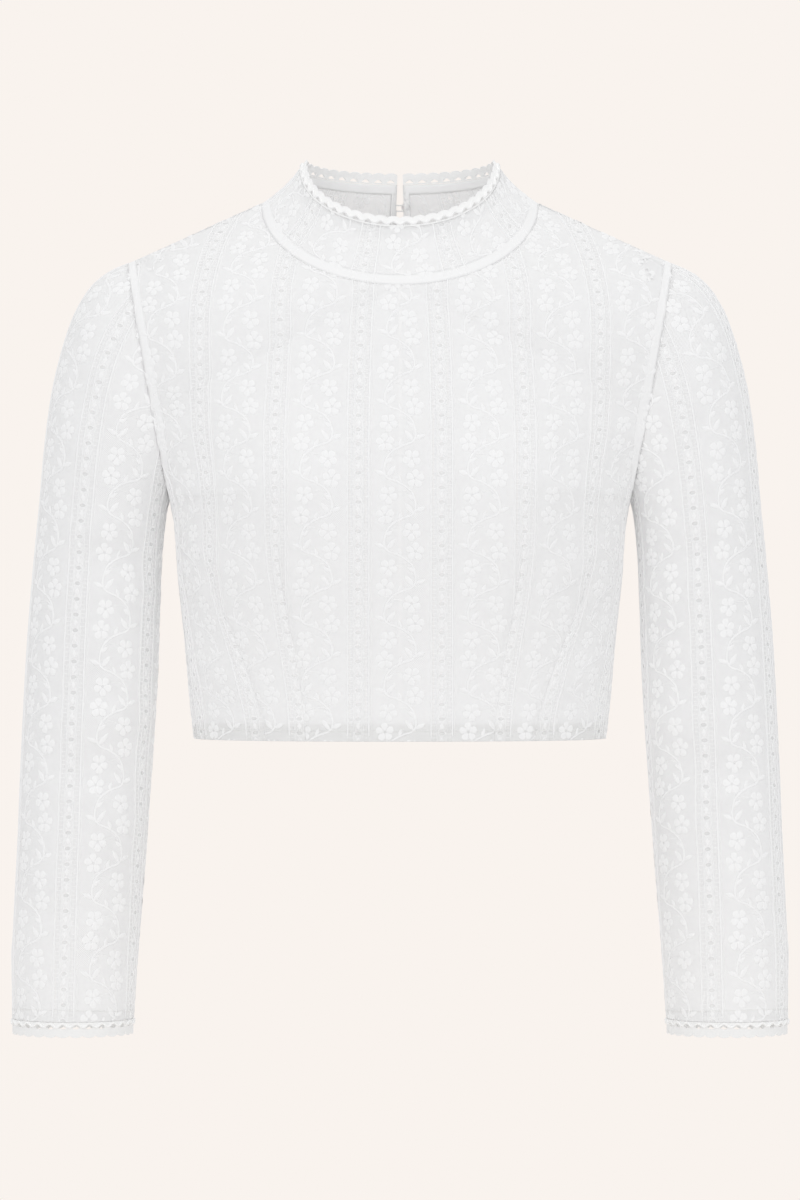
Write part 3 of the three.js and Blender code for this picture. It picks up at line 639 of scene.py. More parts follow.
def grids_to_mesh(name, pieces, flat):
    """One mesh of quads for all patches: on the blouse, or flat as the paper pattern."""
    places, quads, corner_uvs, first = [], [], [], 0
    for piece in pieces:
        rows, columns = piece["uv"].shape[:2]
        index = first + np.arange(rows * columns).reshape(rows, columns)
        a, b, c, d = index[:-1, :-1], index[:-1, 1:], index[1:, 1:], index[1:, :-1]
        uv = piece["uv"]
        rising = np.median(uv[1:, :, 1] - uv[:-1, :, 1]) * np.median(uv[:, 1:, 0] - uv[:, :-1, 0])
        order = (a, b, c, d) if rising > 0 else (a, d, c, b)
        quads.append(np.stack(order, axis=-1).reshape(-1, 4))
        on_paper = np.concatenate([uv, 0 * uv[..., :1]], axis=-1)
        places.append((on_paper if flat else piece["points"]).reshape(-1, 3) * MM)
        corner_uvs.append(uv.reshape(-1, 2) * MM)
        first += rows * columns
    quads, places = np.concatenate(quads), np.concatenate(places)
    mesh = bpy.data.meshes.new(name)
    mesh.from_pydata(places.tolist(), [], quads.tolist())
    uvs = mesh.uv_layers.new(name="cloth")
    uvs.data.foreach_set("uv", np.concatenate(corner_uvs)[quads.ravel()].ravel())
    return mesh


def add_object(name, mesh, material=None):
    piece = bpy.data.objects.new(name, mesh)
    bpy.context.scene.collection.objects.link(piece)
    if material:
        mesh.materials.append(material)
    return piece


def paper(name, pieces):
    """The flat pattern of some patches, with the notes of where each point is sewn."""
    mesh = grids_to_mesh(name, pieces, flat=True)
    for note, scale in (("points", MM), ("outs", 1)):
        label = {"points": "shape", "outs": "out"}[note]
        values = np.concatenate([piece[note].reshape(-1, 3) for piece in pieces]) * scale
        mesh.attributes.new(label, "FLOAT_VECTOR", "POINT").data.foreach_set("vector", values.ravel())
    return add_object(name, mesh)


def cloth(name, pieces, thick, material):
    mesh = grids_to_mesh(name, pieces, flat=False)
    shell = bmesh.new()
    shell.from_mesh(mesh)
    bmesh.ops.remove_doubles(shell, verts=shell.verts, dist=SEAM_WELD)
    shell.to_mesh(mesh)
    shell.free()
    mesh.shade_smooth()
    piece = add_object(name, mesh, material)
    wall = piece.modifiers.new("thickness", "SOLIDIFY")
    wall.thickness = thick * MM
    wall.offset = -1
    return piece


# %% [markdown]
# ## Laying the lace
#
# This is the one Geometry Nodes tree of the blouse, and everything that repeats goes through it: the
# embroidery, the edgings and the stitches. It sets a motif out in rows on flat paper, joins the copies
# into one mesh, and then moves every point from the paper to the blouse. Sample Nearest Surface looks
# up the two notes of the pattern below each point, and the motif's own height is measured along `out`.
# What lies off the paper is squashed against its edge, as if the lace were cut and sewn there, and what
# is squashed flat or lies far outside is deleted.

# %% The tree that lays a motif on the cloth
SQUASHED_AREA = 1e-10


def new_tree(name, inputs):
    tree = bpy.data.node_groups.new(name, "GeometryNodeTree")
    for label, kind in inputs:
        tree.interface.new_socket(name=label, in_out="INPUT", socket_type=kind)
    tree.interface.new_socket(name="Geometry", in_out="OUTPUT", socket_type="NodeSocketGeometry")
    return tree


def add_node(tree, kind, links=None, **settings):
    """A node with its settings, and its inputs either linked to a socket or set to a value."""
    node = tree.nodes.new(kind)
    for name, value in settings.items():
        setattr(node, name, value)
    for name, value in (links or {}).items():
        if isinstance(value, bpy.types.NodeSocket):
            tree.links.new(value, node.inputs[name])
        else:
            node.inputs[name].default_value = value
    return node


def calculate(tree, operation, *values):
    numbered = dict(enumerate(values))
    return add_node(tree, "ShaderNodeMath", numbered, operation=operation).outputs[0]


def laying_tree():
    inputs = [
        ("Motif", "NodeSocketObject"),
        ("Pattern", "NodeSocketObject"),
        ("Start", "NodeSocketVector"),
        ("Step across", "NodeSocketFloat"),
        ("Step up", "NodeSocketFloat"),
        ("Count across", "NodeSocketInt"),
        ("Count up", "NodeSocketInt"),
        ("Margin", "NodeSocketFloat"),
        ("Material", "NodeSocketMaterial"),
    ]
    tree = new_tree("Lay on the cloth", inputs)
    given = add_node(tree, "NodeGroupInput").outputs
    number = add_node(tree, "GeometryNodeInputIndex").outputs[0]
    column = calculate(tree, "MODULO", number, given["Count across"])
    row = calculate(tree, "FLOOR", calculate(tree, "DIVIDE", number, given["Count across"]))
    spot = add_node(
        tree,
        "ShaderNodeCombineXYZ",
        {"X": calculate(tree, "MULTIPLY", column, given["Step across"]),
         "Y": calculate(tree, "MULTIPLY", row, given["Step up"])},
    ).outputs[0]
    start = add_node(tree, "ShaderNodeVectorMath", {0: spot, 1: given["Start"]}, operation="ADD").outputs[0]
    count = calculate(tree, "MULTIPLY", given["Count across"], given["Count up"])
    spots = add_node(tree, "GeometryNodePoints", {"Count": count, "Position": start}).outputs[0]
    motif = add_node(tree, "GeometryNodeObjectInfo", {"Object": given["Motif"]}).outputs["Geometry"]
    copies = add_node(tree, "GeometryNodeInstanceOnPoints", {"Points": spots, "Instance": motif}).outputs[0]
    joined = add_node(tree, "GeometryNodeRealizeInstances", {0: copies}).outputs[0]

    pattern = add_node(tree, "GeometryNodeObjectInfo", {"Object": given["Pattern"]}).outputs["Geometry"]
    position = add_node(tree, "GeometryNodeInputPosition").outputs[0]
    parts = add_node(tree, "ShaderNodeSeparateXYZ", {0: position}).outputs
    below = add_node(tree, "ShaderNodeCombineXYZ", {"X": parts["X"], "Y": parts["Y"]}).outputs[0]
    away = add_node(
        tree, "GeometryNodeProximity", {0: pattern, "Sample Position": below}, target_element="FACES"
    ).outputs["Distance"]
    outside = add_node(
        tree, "FunctionNodeCompare", {0: away, 1: given["Margin"]}, operation="GREATER_THAN"
    ).outputs[0]
    kept = add_node(tree, "GeometryNodeDeleteGeometry", {0: joined, "Selection": outside}).outputs[0]
    notes = []
    for label in ("shape", "out"):
        note = add_node(
            tree, "GeometryNodeInputNamedAttribute", {"Name": label}, data_type="FLOAT_VECTOR"
        ).outputs[0]
        sampled = add_node(tree, "GeometryNodeSampleNearestSurface", data_type="FLOAT_VECTOR")
        tree.links.new(pattern, sampled.inputs["Mesh"])
        tree.links.new(note, sampled.inputs["Value"])
        tree.links.new(below, sampled.inputs["Sample Position"])
        notes.append(sampled.outputs["Value"])
    raised = add_node(
        tree, "ShaderNodeVectorMath", {0: notes[1], 2: notes[0]}, operation="MULTIPLY_ADD"
    )
    lift = add_node(tree, "ShaderNodeCombineXYZ", {axis: parts["Z"] for axis in "XYZ"}).outputs[0]
    tree.links.new(lift, raised.inputs[1])
    laid = add_node(tree, "GeometryNodeSetPosition", {0: kept, "Position": raised.outputs[0]}).outputs[0]
    area = add_node(tree, "GeometryNodeInputMeshFaceArea").outputs[0]
    squashed = add_node(
        tree, "FunctionNodeCompare", {0: area, 1: SQUASHED_AREA}, operation="LESS_THAN"
    ).outputs[0]
    clean = add_node(
        tree, "GeometryNodeDeleteGeometry", {0: laid, "Selection": squashed}, domain="FACE"
    ).outputs[0]
    welded = add_node(tree, "GeometryNodeMergeByDistance", {0: clean, "Distance": SEAM_WELD}).outputs[0]
    real = add_node(tree, "GeometryNodeRealizeInstances", {0: welded}).outputs[0]
    done = add_node(tree, "GeometryNodeSetMaterial", {0: real, "Material": given["Material"]}).outputs[0]
    add_node(tree, "NodeGroupOutput", {0: done})
    return tree


LAY = laying_tree()
SOCKETS = {item.name: item.identifier for item in LAY.interface.items_tree if item.in_out == "INPUT"}


def lay(name, motif, pattern, material, start, step, count, margin=3.0):
    """Lay copies of a motif on a pattern's cloth, and return them as one plain mesh object."""
    holder = add_object(name + "_laying", bpy.data.meshes.new(name + "_laying"))
    modifier = holder.modifiers.new("lay", "NODES")
    modifier.node_group = LAY
    values = {
        "Motif": motif,
        "Pattern": pattern,
        "Start": (start[0] * MM, start[1] * MM, 0.0),
        "Step across": step[0] * MM,
        "Step up": step[1] * MM,
        "Count across": count[0],
        "Count up": count[1],
        "Margin": margin * MM,
        "Material": material,
    }
    for label, value in values.items():
        modifier[SOCKETS[label]] = value
    ready = holder.evaluated_get(bpy.context.evaluated_depsgraph_get())
    mesh = bpy.data.meshes.new_from_object(ready)
    mesh.name = name
    bpy.data.objects.remove(holder)
    closed = bmesh.new()
    closed.from_mesh(mesh)
    rims = [edge for edge in closed.edges if edge.is_boundary]
    bmesh.ops.holes_fill(closed, edges=rims, sides=0)
    bmesh.ops.recalc_face_normals(closed, faces=closed.faces)
    closed.to_mesh(mesh)
    closed.free()
    return add_object(name, mesh)


def cover(name, motif, pattern, material, repeat):
    """Lay a motif over a whole pattern, as many times as it takes."""
    corners = np.array([vertex.co[:2] for vertex in pattern.data.vertices]) / MM
    low, high = corners.min(axis=0), corners.max(axis=0)
    first = np.floor(low / repeat)
    count = np.ceil(high / repeat) - first + 1
    start = first * repeat
    return lay(name, motif, pattern, material, start, repeat, [int(n) for n in count])


# %% [markdown]
# ## The repeat of the lace
#
# One repeat is drawn flat, 57 mm across and 49.5 mm up. A vine winds through the flower stripe, and in
# each of its bays stand two five-petalled flowers. The second half of the repeat is the first one
# mirrored and moved up by half, as lace machines like it, so only half of it is drawn. Every motif is a
# small closed body that reaches through the net, because embroidery shows on both faces.

# %% Bodies for petals, leaves and threads
THREAD_LOW = -0.42


def facing_out(name, points, faces):
    """A mesh of closed bodies, given in millimetres, with every face turned outwards."""
    mesh = bpy.data.meshes.new(name)
    mesh.from_pydata((np.asarray(points) * MM).tolist(), [], faces)
    bodies = bmesh.new()
    bodies.from_mesh(mesh)
    bmesh.ops.recalc_face_normals(bodies, faces=bodies.faces)
    bodies.to_mesh(mesh)
    bodies.free()
    return mesh


class Drawing:
    """Points and faces of a motif, in millimetres."""

    def __init__(self):
        self.points, self.faces = [], []

    def add(self, points, faces):
        first = len(self.points)
        self.points += [tuple(map(float, point)) for point in points]
        self.faces += [tuple(first + i for i in face) for face in faces]

    def pad(self, outline, rim, crown, inset=0.45):
        """A closed body over an outline: flat below, with a rim and a crowned top."""
        outline = np.array(outline, float)
        middle = outline.mean(axis=0)
        inner = lerp(outline, middle, inset)
        n = len(outline)
        rings = [(outline, THREAD_LOW), (outline, rim), (inner, crown)]
        points = [(u, v, height) for ring, height in rings for u, v in ring]
        faces = [tuple(reversed(range(n))), tuple(range(2 * n, 3 * n))]
        for low in (0, n):
            high = low + n
            faces += [(low + i, low + (i + 1) % n, high + (i + 1) % n, high + i) for i in range(n)]
        self.add(points, faces)

    def strand(self, path, section, shift=(0, 0)):
        """A thread along a path, which may run on by a shift into the next repeat."""
        path = np.array(path, float)
        shift = np.array(shift, float)
        if shift.any():
            before = np.concatenate([path[-2:-1] - shift, path[:-1]])
            after = np.concatenate([path[1:], path[1:2] + shift])
        else:
            before = np.concatenate([path[:1], path[:-1]])
            after = np.concatenate([path[1:], path[-1:]])
        way = unit(after - before)
        side = np.stack([-way[:, 1], way[:, 0]], axis=-1)
        n, m = len(path), len(section)
        points = [(*(path[i] + side[i] * across), height) for i in range(n) for across, height in section]
        faces = []
        for i in range(n - 1):
            here, there = i * m, (i + 1) * m
            faces += [(here + j, here + (j + 1) % m, there + (j + 1) % m, there + j) for j in range(m)]
        if not shift.any():
            faces += [tuple(reversed(range(m))), tuple(range((n - 1) * m, n * m))]
        self.add(points, faces)

    def object(self, name):
        return add_object(name, facing_out(name, self.points, self.faces))


def curve_through(points, steps, shift=None):
    """A smooth curve through drawn points, running on by a shift where one is given."""
    points = np.array(points, float)
    if shift is not None:
        shift = np.array(shift, float)
        points = np.concatenate([points[-1:] - shift, points, points[:2] + shift])
    else:
        points = np.concatenate([2 * points[:1] - points[1:2], points, 2 * points[-1:] - points[-2:-1]])
    line = []
    for p0, p1, p2, p3 in zip(points, points[1:], points[2:], points[3:]):
        for s in np.arange(steps) / steps:
            line.append(0.5 * (2 * p1 + (p2 - p0) * s + (2 * p0 - 5 * p1 + 4 * p2 - p3) * s**2
                               + (3 * p1 - p0 - 3 * p2 + p3) * s**3))
    line.append(points[-2])
    return np.array(line)


# %% [markdown]
# The flower stripe first. A petal is a rounded pad that starts 1 mm from the flower's middle, so five
# of them leave the small hole that shows in the real lace.

# %% The flower stripe
PETAL = [(1.0, -0.55), (2.6, -1.75), (4.4, -2.35), (5.9, -1.7), (6.3, 0), (5.9, 1.7), (4.4, 2.35),
         (2.6, 1.75), (1.0, 0.55)]
FLOWERS = table("u v turn", (10.4, 11.0, 14), (8.0, 24.6, 50))
VINE = [(7.8, 2.4), (3.4, 6.3), (-2.4, 9.2), (-7.6, 10.8), (-10.4, 13.8), (-10.8, 18.2), (-9.8, 22.8)]
LEAVES = table(
    "u v turn length width",
    (-9.0, 12.2, 52, 9.5, 3.4),
    (-10.4, 13.6, 158, 7.5, 3.0),
    (-10.2, 21.4, 36, 6.5, 2.6),
    (1.0, 7.8, 112, 6.0, 2.4),
)
STEMS = [[(6.0, 4.2), (9.0, 5.0), (10.6, 7.4)], [(-9.6, 23.6), (-4.2, 27.4), (1.8, 26.8)]]
VINE_SECTION = [(-0.62, THREAD_LOW), (0.62, THREAD_LOW), (0.5, 0.22), (-0.5, 0.22)]
STEM_SECTION = [(-0.42, THREAD_LOW), (0.42, THREAD_LOW), (0, 0.24)]
PETAL_RIM, PETAL_CROWN = 0.14, 0.34
LEAF_RIM, LEAF_CROWN = 0.12, 0.34


def turned(points, turn, u, v):
    turn = math.radians(turn)
    c, s = math.cos(turn), math.sin(turn)
    return [(u + c * x - s * y, v + s * x + c * y) for x, y in points]


def leaf_outline(length, width):
    along = np.array([0, 0.2, 0.45, 0.72, 1, 0.72, 0.45, 0.2])
    half = np.array([0.12, 0.66, 1, 0.7, 0, -0.7, -1, -0.66]) * width / 2
    return list(zip(along * length, half))


def glide(points, flipped):
    """The mirrored half of the repeat, half a repeat further up."""
    if not flipped:
        return [tuple(point) for point in points]
    return [(-u, v + LACE["up"] / 2) for u, v in reversed(list(points))]


def draw_flower_stripe(drawing):
    for flipped in (False, True):
        for flower in FLOWERS:
            for petal in range(5):
                outline = turned(PETAL, flower["turn"] + 72 * petal, flower["u"], flower["v"])
                drawing.pad(glide(outline, flipped), PETAL_RIM, PETAL_CROWN)
        for leaf in LEAVES:
            outline = leaf_outline(leaf["length"], leaf["width"])
            outline = turned(outline, leaf["turn"], leaf["u"], leaf["v"])
            drawing.pad(glide(outline, flipped), LEAF_RIM, LEAF_CROWN)
        for stem in STEMS:
            drawing.strand(glide(curve_through(stem, 3), flipped), STEM_SECTION)
    whole = VINE + [(-u, v + LACE["up"] / 2) for u, v in VINE]
    line = curve_through(whole, 2, shift=(0, LACE["up"]))
    drawing.strand(line, VINE_SECTION, shift=(0, LACE["up"]))


# %% [markdown]
# Between two flower stripes runs the insertion band: a cord along each edge, a ladder of short bars
# inside each cord, and a column of eyelets in the middle, framed by two threads that swing round them.

# %% The insertion band
# Places across from the band's middle, and how many eyelets and rungs a repeat has
BAND = {"cord": 7.3, "inner_cord": 3.5, "second": 8.8, "eyelets": 5, "rungs": 18}
EYELET = {"across": 2.0, "up": 1.2}  # half of its width and height
SWING = {"middle": 1.5, "reach": 1.15, "steps": 8}  # the threads round the eyelets
KNOT = [(-1.5, 0), (0, -2.4), (1.5, 0), (0, 2.4)]
KNOT_RIM, KNOT_CROWN, KNOT_INSET = 0.1, 0.2, 0.4
CORD_LEVELS = 10
CORD_SECTION = [(-0.5, THREAD_LOW), (0.5, THREAD_LOW), (0.4, 0.42), (-0.4, 0.42)]
FINE_SECTION = [(-0.35, THREAD_LOW), (0.35, THREAD_LOW), (0, 0.26)]
RUNG_SECTION = [(-0.4, THREAD_LOW), (0.4, THREAD_LOW), (0, 0.16)]


def draw_band(drawing):
    middle = LACE["across"] / 2
    run_on = (0, LACE["up"])
    levels = np.linspace(0, LACE["up"], CORD_LEVELS)
    for offset, section in (
        (-BAND["cord"], CORD_SECTION),
        (BAND["cord"], CORD_SECTION),
        (BAND["second"], FINE_SECTION),
        (-BAND["inner_cord"], FINE_SECTION),
        (BAND["inner_cord"], FINE_SECTION),
    ):
        drawing.strand([(middle + offset, v) for v in levels], section, shift=run_on)
    for side in (-1, 1):
        for rung in range(BAND["rungs"]):
            v = (rung + 0.5) * LACE["up"] / BAND["rungs"]
            ends = [(middle + side * BAND["inner_cord"], v), (middle + side * BAND["cord"], v)]
            drawing.strand(ends, RUNG_SECTION)
    pitch = LACE["up"] / BAND["eyelets"]
    steps = SWING["steps"]
    for side in (-1, 1):
        swing = []
        for i in range(steps * BAND["eyelets"] + 1):
            reach = SWING["middle"] + SWING["reach"] * math.cos(2 * math.pi * i / steps)
            swing.append((middle + side * reach, (i / steps + 0.5) * pitch))
        drawing.strand(swing, FINE_SECTION, shift=run_on)
    for eyelet in range(BAND["eyelets"]):
        v = (eyelet + 1) * pitch
        drawing.pad([(middle + u, v + w) for u, w in KNOT], KNOT_RIM, KNOT_CROWN, KNOT_INSET)


repeat = Drawing()
draw_flower_stripe(repeat)
draw_band(repeat)
lace_repeat = repeat.object("lace_repeat")
lace_repeat.data.calc_loop_triangles()
print("one repeat has", len(lace_repeat.data.loop_triangles), "triangles")


# %% [markdown]
# ## Materials
#
# The net is far too fine to model, so it is a procedural material: cotton with an alpha that is woven
# from a Voronoi pattern, and more open at the ladders and eyelets. A noise on the object makes the net
# a little thicker here and thinner there. White lace throws light back and forth between its layers,
# so all these colours are close to pure white, and a small step between two of them shows clearly.
# Embroidery, tape, edging and cord are plain cotton with a little sheen and a fine bump.

# %% The materials
COLOR_LOW, COLOR_HIGH, COLOR_RESULT = 6, 7, 2  # a Mix node's colour sockets, among its others


def shader(name, color, roughness, **settings):
    material = bpy.data.materials.new(name)
    material.use_nodes = True
    surface = next(node for node in material.node_tree.nodes if node.type == "BSDF_PRINCIPLED")
    surface.inputs["Base Color"].default_value = (*color, 1)
    surface.inputs["Roughness"].default_value = roughness
    for label, value in settings.items():
        surface.inputs[label.replace("_", " ")].default_value = value
    return material, material.node_tree, surface


def mixed_color(tree, share, low, high):
    mix = add_node(tree, "ShaderNodeMix", {"Factor": share}, data_type="RGBA")
    mix.inputs[COLOR_LOW].default_value = (*low, 1)
    mix.inputs[COLOR_HIGH].default_value = (*high, 1)
    return mix.outputs[COLOR_RESULT]


def bumped(tree, surface, height, strength, distance):
    bump = add_node(tree, "ShaderNodeBump", {"Strength": strength, "Distance": distance, "Height": height})
    tree.links.new(bump.outputs[0], surface.inputs["Normal"])


def cotton(name, color, fibre_scale, strength):
    material, tree, surface = shader(name, color, 0.82, Sheen_Weight=0.25, Sheen_Roughness=0.5)
    place = add_node(tree, "ShaderNodeTexCoord").outputs["Object"]
    fibres = add_node(tree, "ShaderNodeTexNoise", {"Vector": place, "Scale": fibre_scale, "Detail": 2.0})
    bumped(tree, surface, fibres.outputs[0], strength, 0.0003)
    return material


def blend_values(tree, low, high, share):
    return calculate(tree, "MULTIPLY_ADD", calculate(tree, "SUBTRACT", high, low), share, low)


def between(tree, value, low, high):
    return calculate(tree, "MULTIPLY", calculate(tree, "GREATER_THAN", value, low),
                     calculate(tree, "LESS_THAN", value, high))


# The hem colour is painted shade: the turned hem is the same white lace, painted greyer.
NET = {"color": (0.982, 0.982, 0.982), "hem_painted_shade": (0.95, 0.95, 0.945), "cells": 1150, "hole": 0.15}
NET_TILT = 38  # degrees, so that the mesh stands askew to the stripes
# How much of the light each part of the net stops
STOPS = {"hole": 0.58, "thread": 0.93, "band_hole": 0.68, "ladder": 0.66, "eyelet": 0.5}
DRIFT = {"scale": 28.0, "swing": 0.35}
LADDER_CLEAR = {"inner": 0.2, "outer": 0.3}  # from the cords on both sides of a ladder


def net_material(name, color):
    material, tree, surface = shader(name, color, 0.8, Sheen_Weight=0.2, Sheen_Roughness=0.5)
    uv = add_node(tree, "ShaderNodeUVMap", uv_map="cloth").outputs[0]
    axes = add_node(tree, "ShaderNodeSeparateXYZ", {0: uv}).outputs

    def from_repeat(value, size):
        """Distance in millimetres from the middle of a repeat's second half."""
        fraction = calculate(tree, "FRACT", calculate(tree, "DIVIDE", value, size * MM))
        from_middle = calculate(tree, "ABSOLUTE", calculate(tree, "SUBTRACT", fraction, 0.5))
        return calculate(tree, "MULTIPLY", from_middle, size)

    across = from_repeat(axes["X"], LACE["across"])
    up = from_repeat(axes["Y"], LACE["up"] / BAND["eyelets"])
    round_u = calculate(tree, "POWER", calculate(tree, "DIVIDE", across, EYELET["across"]), 2.0)
    round_v = calculate(tree, "POWER", calculate(tree, "DIVIDE", up, EYELET["up"]), 2.0)
    eyelet = calculate(tree, "LESS_THAN", calculate(tree, "ADD", round_u, round_v), 1.0)
    ladder_low = BAND["inner_cord"] + LADDER_CLEAR["inner"]
    ladder_high = BAND["cord"] - LADDER_CLEAR["outer"]
    ladder = between(tree, across, ladder_low, ladder_high)
    in_band = calculate(tree, "LESS_THAN", across, BAND["inner_cord"])
    skewed = add_node(tree, "ShaderNodeVectorRotate", {"Vector": uv, "Angle": math.radians(NET_TILT)},
                      rotation_type="Z_AXIS").outputs[0]
    cells = add_node(tree, "ShaderNodeTexVoronoi",
                     {"Vector": skewed, "Scale": float(NET["cells"]), "Randomness": 0.25},
                     voronoi_dimensions="2D", feature="DISTANCE_TO_EDGE").outputs["Distance"]
    thread = calculate(tree, "LESS_THAN", cells, NET["hole"])
    place = add_node(tree, "ShaderNodeTexCoord").outputs["Object"]
    noise = {"Vector": place, "Scale": DRIFT["scale"], "Detail": 3.0}
    drift = add_node(tree, "ShaderNodeTexNoise", noise).outputs[0]
    drift = calculate(tree, "MULTIPLY", calculate(tree, "SUBTRACT", drift, 0.5), DRIFT["swing"])
    holes = calculate(tree, "ADD", blend_values(tree, STOPS["hole"], STOPS["band_hole"], in_band), drift)
    woven = blend_values(tree, holes, STOPS["thread"], thread)
    laddered = blend_values(tree, woven, STOPS["ladder"], ladder)
    alpha = blend_values(tree, laddered, STOPS["eyelet"], eyelet)
    tree.links.new(alpha, surface.inputs["Alpha"])
    bumped(tree, surface, thread, 0.15, 0.0002)
    return material


def pearl_material():
    material, tree, surface = shader(
        "pearl_button", (0.88, 0.86, 0.83), 0.22, Coat_Weight=0.4, Coat_Roughness=0.12,
        Subsurface_Weight=0.15, Subsurface_Scale=0.002,
    )
    place = add_node(tree, "ShaderNodeTexCoord").outputs["Object"]
    waves = add_node(tree, "ShaderNodeTexNoise", {"Vector": place, "Scale": 320.0, "Detail": 1.0})
    color = mixed_color(tree, waves.outputs[0], (0.9, 0.86, 0.82), (0.84, 0.86, 0.87))
    tree.links.new(color, surface.inputs["Base Color"])
    return material


net = net_material("lace_net", NET["color"])
# The hem's net is painted greyer than the rest, as painted shade.
shaded_hem_net = net_material("lace_net_hem_painted_shade", NET["hem_painted_shade"])
embroidery = cotton("embroidery_cotton", (0.958, 0.958, 0.958), 900, 0.2)
tape_cotton = cotton("tape_cotton", (0.955, 0.955, 0.955), 1400, 0.1)
# The cuff edging's darker grey is painted shade beneath the wave cord. The collar edging keeps its plain
# white.
edging_cotton = {
    "collar": cotton("collar_edging_cotton", (0.965, 0.965, 0.96), 1100, 0.3),
    "cuff": cotton("cuff_edging_painted_shade", (0.935, 0.935, 0.93), 700, 0.9),
}
# The wave cord is painted brighter than the edging it belongs to, as painted light on the raised cord.
edging_cord_painted_light = cotton("edging_cord_painted_light", (0.985, 0.985, 0.98), 1500, 0.2)
# The stitch thread is white. Its grey is painted shade, where the stitches sink into the cloth.
stitch_thread_painted_shade = cotton("stitch_thread_painted_shade", (0.86, 0.86, 0.85), 900, 0.2)
cord_thread = cotton("loop_cord", (0.87, 0.87, 0.86), 1500, 0.3)
pearl = pearl_material()
print("materials:", len(bpy.data.materials))

# %% [markdown]
# ## The panels
#
# Every panel is now the same three steps: count its cloth in repeats of the lace, make the net shell,
# and lay the embroidery over its paper pattern. A flower stripe runs down the centre of the front. On
# the sleeves the cutter let the stripes fall a little differently left and right, which shows in the
# bands on the outside of each arm. The bodice's turned hem is two layers of lace, and its faces take a
# second net material that is painted greyer, as painted shade on the hem.

# %% Making the panels
FLOWER_Z = -135  # height at which a repeat begins on the centre front
SLEEVE_START = {"left": 7.5, "right": 32.5}  # from the outermost line to the middle of a flower stripe
SLEEVE_STRETCH, SLEEVE_V = 54 / 49.5, 339.0
COLLAR_START = 5.5
COLLAR_FOLD = 4  # columns of the collar that turn in at its open end
BODICE = ("front", "back_left", "back_right")
panels = {}


def length_at(piece, z):
    """How far up the cloth a height is reached, along a patch's first column."""
    column = -1 if piece["uv"][0, 0, 0] > piece["uv"][0, -1, 0] else 0
    order = slice(len(HEM_STEPS) - 1, None)
    return float(np.interp(z, piece["points"][order, column, 2], piece["uv"][order, column, 1]))


def both(pieces):
    return [mirrored(piece) for piece in reversed(pieces)] + pieces


def make_panel(node, pieces):
    width, long, area = flat_size(pieces)
    shell = cloth(node + "_net", pieces, NET_THICK, net)
    pattern = paper(node + "_paper", pieces)
    size = np.array([LACE["across"], LACE["up"]])
    flowers = cover(node + "_embroidery", lace_repeat, pattern, embroidery, size)
    panels[node] = {
        "net": shell,
        "parts": [flowers],
        "tapes": [],
        "paper": pattern,
        "flat": (width, long),
        "area": area,
    }
    # The faces of the turned hem take the greyer net, which is painted shade.
    if node in BODICE:
        shell.data.materials.append(shaded_hem_net)
        for face in shell.data.polygons:
            face.material_index = int(face.center.z < (HEM_Z + HEM_STEPS[-1]) * MM)
    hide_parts(node)
    flowers.data.calc_loop_triangles()
    print(f"{node}: flat {width * 1000:.0f} by {long * 1000:.0f} mm, embroidery of",
          len(flowers.data.loop_triangles), "triangles")


front_up = length_at(front_half[0], FLOWER_Z)
back_up = length_at(back_half[0], FLOWER_Z)
make_panel("front", to_lace(both(front_half), 0, front_up))
make_panel("back_left", to_lace(back_half, 0, back_up))
make_panel("back_right", to_lace([mirrored(gore) for gore in back_half], 0, back_up))
make_panel("sleeve_left", to_lace([sleeve_left], SLEEVE_START["left"], SLEEVE_V, SLEEVE_STRETCH))
make_panel("sleeve_right", to_lace([mirrored(sleeve_left)], SLEEVE_START["right"], SLEEVE_V, SLEEVE_STRETCH))
collar_flipped = {name: np.flip(field, 1) for name, field in collar_left.items()}
collar_turned = turned_in(collar_flipped, 1, COLLAR_FOLD)
make_panel("collar", to_lace(both([collar_turned]), COLLAR_START, 0))

# %% [markdown]
# ## Tapes
#
# The seams are bound with plain cotton tape, which shows as a whiter band: under the collar's edging,
# along the neck seam and round each armhole. A tape is the panel's own points, moved inwards. The
# tapes of the neck and the armholes stand a hair proud of the net instead, because behind it they
# would look grey.

# %% The tapes inside the seams
TAPE_THICK = 0.5
TAPE_IN = {"collar top": 0.55, "seam": -0.06}
COLLAR_TAPE = {"collar top": (0.8, 1), "seam": (0, 0.18)}  # shares of the collar's height
ARMHOLE_TAPE = {"low_level": 0.958, "inner_share": 0.935, "low_rows": 4, "rows": 90}
TAPE_COLUMNS = 5


def moved_in(piece, distance):
    return patch(piece["points"] - piece["outs"] * distance, piece["outs"], piece["uv"])


def armhole_tape():
    strips = []
    size = ARMHOLE_TAPE
    for side in (-1, 1):
        below = np.linspace(size["low_level"], 1, size["low_rows"])
        level = np.concatenate([below, np.linspace(1, 3, size["rows"])[1:]])
        share = np.linspace(size["inner_share"], 1, TAPE_COLUMNS)
        grid_level, grid_share = np.meshgrid(level, share, indexing="ij")
        points = body_points(side, grid_level, grid_share)
        outs = outward(points, -side)
        strips.append(moved_in(patch(points, outs, lay_flat(points, outs, (0, 0, 1))), TAPE_IN["seam"]))
    return strips


def collar_strip(place):
    shares = np.linspace(*COLLAR_TAPE[place], TAPE_COLUMNS)
    return moved_in(collar_half(shares, COLLAR_QUARTERS[:-2]), TAPE_IN[place])


def make_tape(name, node, panel, pieces):
    piece = cloth(name, pieces, TAPE_THICK, tape_cotton)
    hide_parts(node)
    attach(piece, BODY)
    panels[panel]["tapes"].append(piece)


